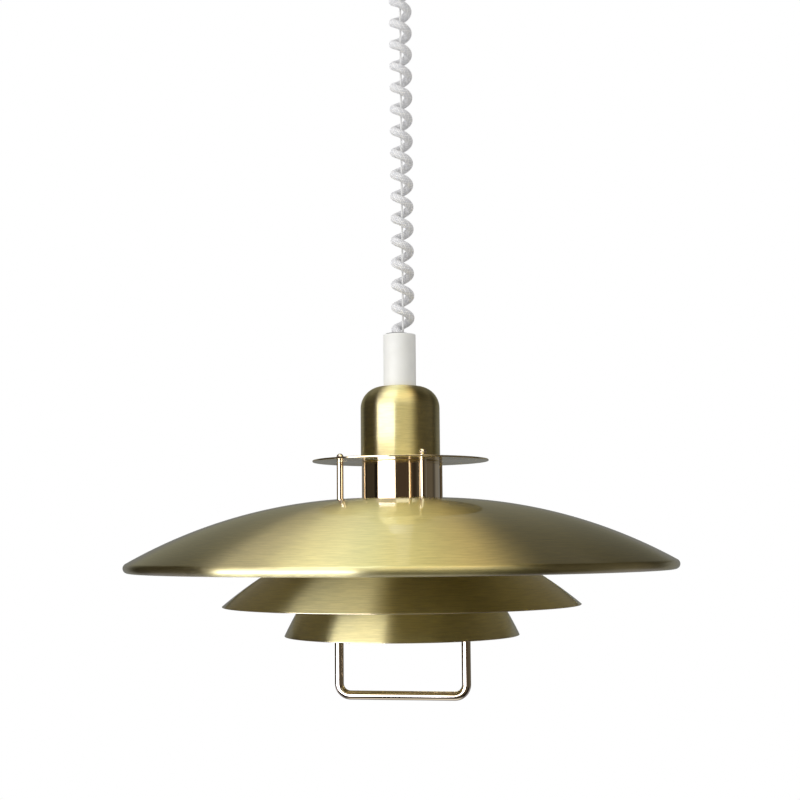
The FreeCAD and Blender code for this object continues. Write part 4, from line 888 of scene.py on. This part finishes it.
def add_reflection_tent():
    """Dark cloth with bright soft lights at the front left, warm dimmer ones to their right,
    broad ones above and faint ones all round. Only reflections see it."""
    rows, steps, radius, middle = 36, 72, 1.15, -0.57
    points = []
    for i in range(rows + 1):
        lift = math.radians(-90 + 180 * i / rows)
        for s in range(steps):
            angle = 2 * math.pi * s / steps
            points.append((radius * math.cos(lift) * math.cos(angle),
                           radius * math.cos(lift) * math.sin(angle), radius * math.sin(lift)))
    material = bpy.data.materials.new("reflection_tent")
    material.use_nodes = True
    tree = material.node_tree
    tree.nodes.remove(tree.nodes["Principled BSDF"])
    x, y, z = split(tree, put(tree, "ShaderNodeTexCoord").outputs["Object"])
    # the angle from the camera's side, positive to its right, and the angle up, in degrees
    side = calc(tree, "DEGREES", calc(
        tree, "ARCTAN2", toward(tree, x, y, CAMERA_SIDE + math.pi / 2),
        toward(tree, x, y, CAMERA_SIDE)))
    lift = calc(tree, "DEGREES", calc(tree, "ARCSINE", calc(tree, "DIVIDE", z, radius)))

    def between(value, low, high, soft_low, soft_high):
        """1 from low to high, with soft edges this many degrees wide."""
        rise = ranged(tree, value, low - soft_low / 2, low + soft_low / 2)
        fall = ranged(tree, value, high - soft_high / 2, high + soft_high / 2, 1.0, 0.0)
        return calc(tree, "MULTIPLY", rise, fall)

    def patch(sides, lifts):
        return calc(tree, "MULTIPLY", between(side, *sides), between(lift, *lifts))

    def past(start, end, lifts):
        """One side, from an angle to straight behind: the left where the angles are negative."""
        low, high, to_low, to_high = (start, end, 0.0, 1.0) if end > 0 else (end, start, 1.0, 0.0)
        away = ranged(tree, side, low, high, to_low, to_high)
        return calc(tree, "MULTIPLY", away, between(lift, *lifts))

    # each light's colour times its level, and where it is: an angle, from low to high, and the
    # widths of its two soft edges, for the sides and for the lifts
    left, overhead = (-71.0, -16.0, 5.0, 3.0), (-81.0, -14.0, 8.0, 4.0)
    beside, right = (-15.0, 40.0, 3.0, 36.0), (-14.0, 60.0, 4.0, 40.0)
    lights = [
        ((8.3, 9.0, 11.4), patch(left, (-29.0, -13.0, 6.0, 6.0))),
        ((4.2, 4.1, 3.8), patch((-69.0, -16.0, 5.0, 3.0), (-13.0, 8.0, 6.0, 6.0))),
        ((0.3, 0.24, 0.3), patch((-80.0, -16.0, 5.0, 3.0), (8.0, 50.0, 6.0, 10.0))),
        ((3.66, 3.85, 3.45), patch(overhead, (50.0, 68.0, 10.0, 8.0))),
        ((1.79, 2.34, 2.5), patch(overhead, (68.0, 84.0, 8.0, 8.0))),
        ((1.15, 1.21, 1.06), patch(beside, (10.0, 48.0, 6.0, 10.0))),
        ((2.89, 2.18, 1.26), patch(right, (48.0, 68.0, 10.0, 8.0))),
        ((0.8, 1.3, 1.1), patch(right, (68.0, 84.0, 8.0, 8.0))),
        ((0.095, 0.08, 0.06), patch(beside, (-40.0, -8.0, 10.0, 6.0))),
        ((0.05, 0.036, 0.024), patch(beside, (-8.0, 10.0, 6.0, 6.0))),
        ((0.1, 0.09, 0.07), patch((50.0, 112.0, 20.0, 20.0), (-25.0, 30.0, 10.0, 16.0))),
        ((0.035, 0.03, 0.02), patch((-120.0, -82.0, 10.0, 6.0), (-25.0, 36.0, 10.0, 10.0))),
        ((0.19, 0.19, 0.175), past(-122.0, -140.0, (-25.0, 8.0, 10.0, 8.0))),
        ((0.19, 0.19, 0.175), past(110.0, 130.0, (-25.0, 8.0, 10.0, 8.0))),
        ((0.25, 0.245, 0.18), past(-118.0, -150.0, (8.0, 36.0, 8.0, 10.0))),
        ((0.23, 0.225, 0.17), past(115.0, 175.0, (8.0, 36.0, 8.0, 10.0))),
        ((0.36, 0.34, 0.27), past(-110.0, -130.0, (36.0, 70.0, 10.0, 12.0))),
        ((0.18, 0.17, 0.13), past(110.0, 130.0, (36.0, 70.0, 10.0, 12.0))),
        ((0.28, 0.28, 0.34), past(-80.0, -100.0, (-60.0, -25.0, 10.0, 10.0))),
        ((0.28, 0.28, 0.34), past(80.0, 100.0, (-60.0, -25.0, 10.0, 10.0))),
        ((0.85, 0.86, 0.85), ranged(tree, lift, -85.0, -58.0, 1.0, 0.0)),
        ((1.07, 1.25, 1.0), ranged(tree, lift, 80.0, 86.0))]
    total = (0.012, 0.01, 0.008)
    for colour, mask in lights:
        glow = put(tree, "ShaderNodeVectorMath", operation="SCALE")
        glow.inputs[0].default_value = colour
        feed(tree, glow.inputs["Scale"], mask)
        both = put(tree, "ShaderNodeVectorMath", operation="ADD")
        feed(tree, both.inputs[0], glow.outputs[0])
        feed(tree, both.inputs[1], total)
        total = both.outputs[0]
    shine = put(tree, "ShaderNodeEmission")
    shine.inputs["Strength"].default_value = 1.0
    feed(tree, shine.inputs["Color"], total)
    tree.links.new(shine.outputs[0], tree.nodes["Material Output"].inputs["Surface"])
    tent = mesh_piece("reflection_tent", points, ring_faces(rows, steps), [material], None,
                      sharp=180)
    tent.location = (0.0, 0.0, middle)
    tent.visible_camera = False
    tent.visible_diffuse = False
    tent.visible_shadow = False
    tent.visible_transmission = False
    tent.visible_volume_scatter = False


def add_world():
    """White behind the object, and a plain even light on it."""
    world = bpy.data.worlds.new("studio")
    bpy.context.scene.world = world
    world.use_nodes = True
    world.cycles.sampling_method = "NONE"
    tree = world.node_tree
    back = tree.nodes["Background"]
    back.inputs["Color"].default_value = (1.0, 1.0, 1.0, 1.0)
    feed(tree, back.inputs["Strength"],
         ranged(tree, seen_straight(tree), 0.0, 1.0, 0.6, 1.0, False))


def add_light(name, spot, size, power):
    """A soft light that faces the lamp's middle and that no mirror sees."""
    target = (0, 0, -0.5)
    lamp = bpy.data.lights.new(name, "AREA")
    lamp.shape = "RECTANGLE"
    lamp.size, lamp.size_y = size
    lamp.energy = power
    holder = bpy.data.objects.new(name, lamp)
    bpy.context.scene.collection.objects.link(holder)
    holder.location = spot
    holder.rotation_euler = (Vector(target) - Vector(spot)).to_track_quat("-Z", "Y").to_euler()
    holder.visible_glossy = False


def around(angle, distance, height):
    """A spot at an angle to the right of the camera's side."""
    turn = CAMERA_SIDE + math.radians(angle)
    return (distance * math.cos(turn), distance * math.sin(turn), height)


add_floor()
add_reflection_tent()
add_world()
add_light("key_light", around(-56, 2.0, 0.3), (1.4, 1.8), 28)
add_light("fill_light", around(45, 2.4, -0.2), (1.2, 1.8), 5)
add_light("back_light", around(165, 2.2, 0.4), (1.6, 1.2), 12)

bpy.context.scene.view_settings.view_transform = "Standard"
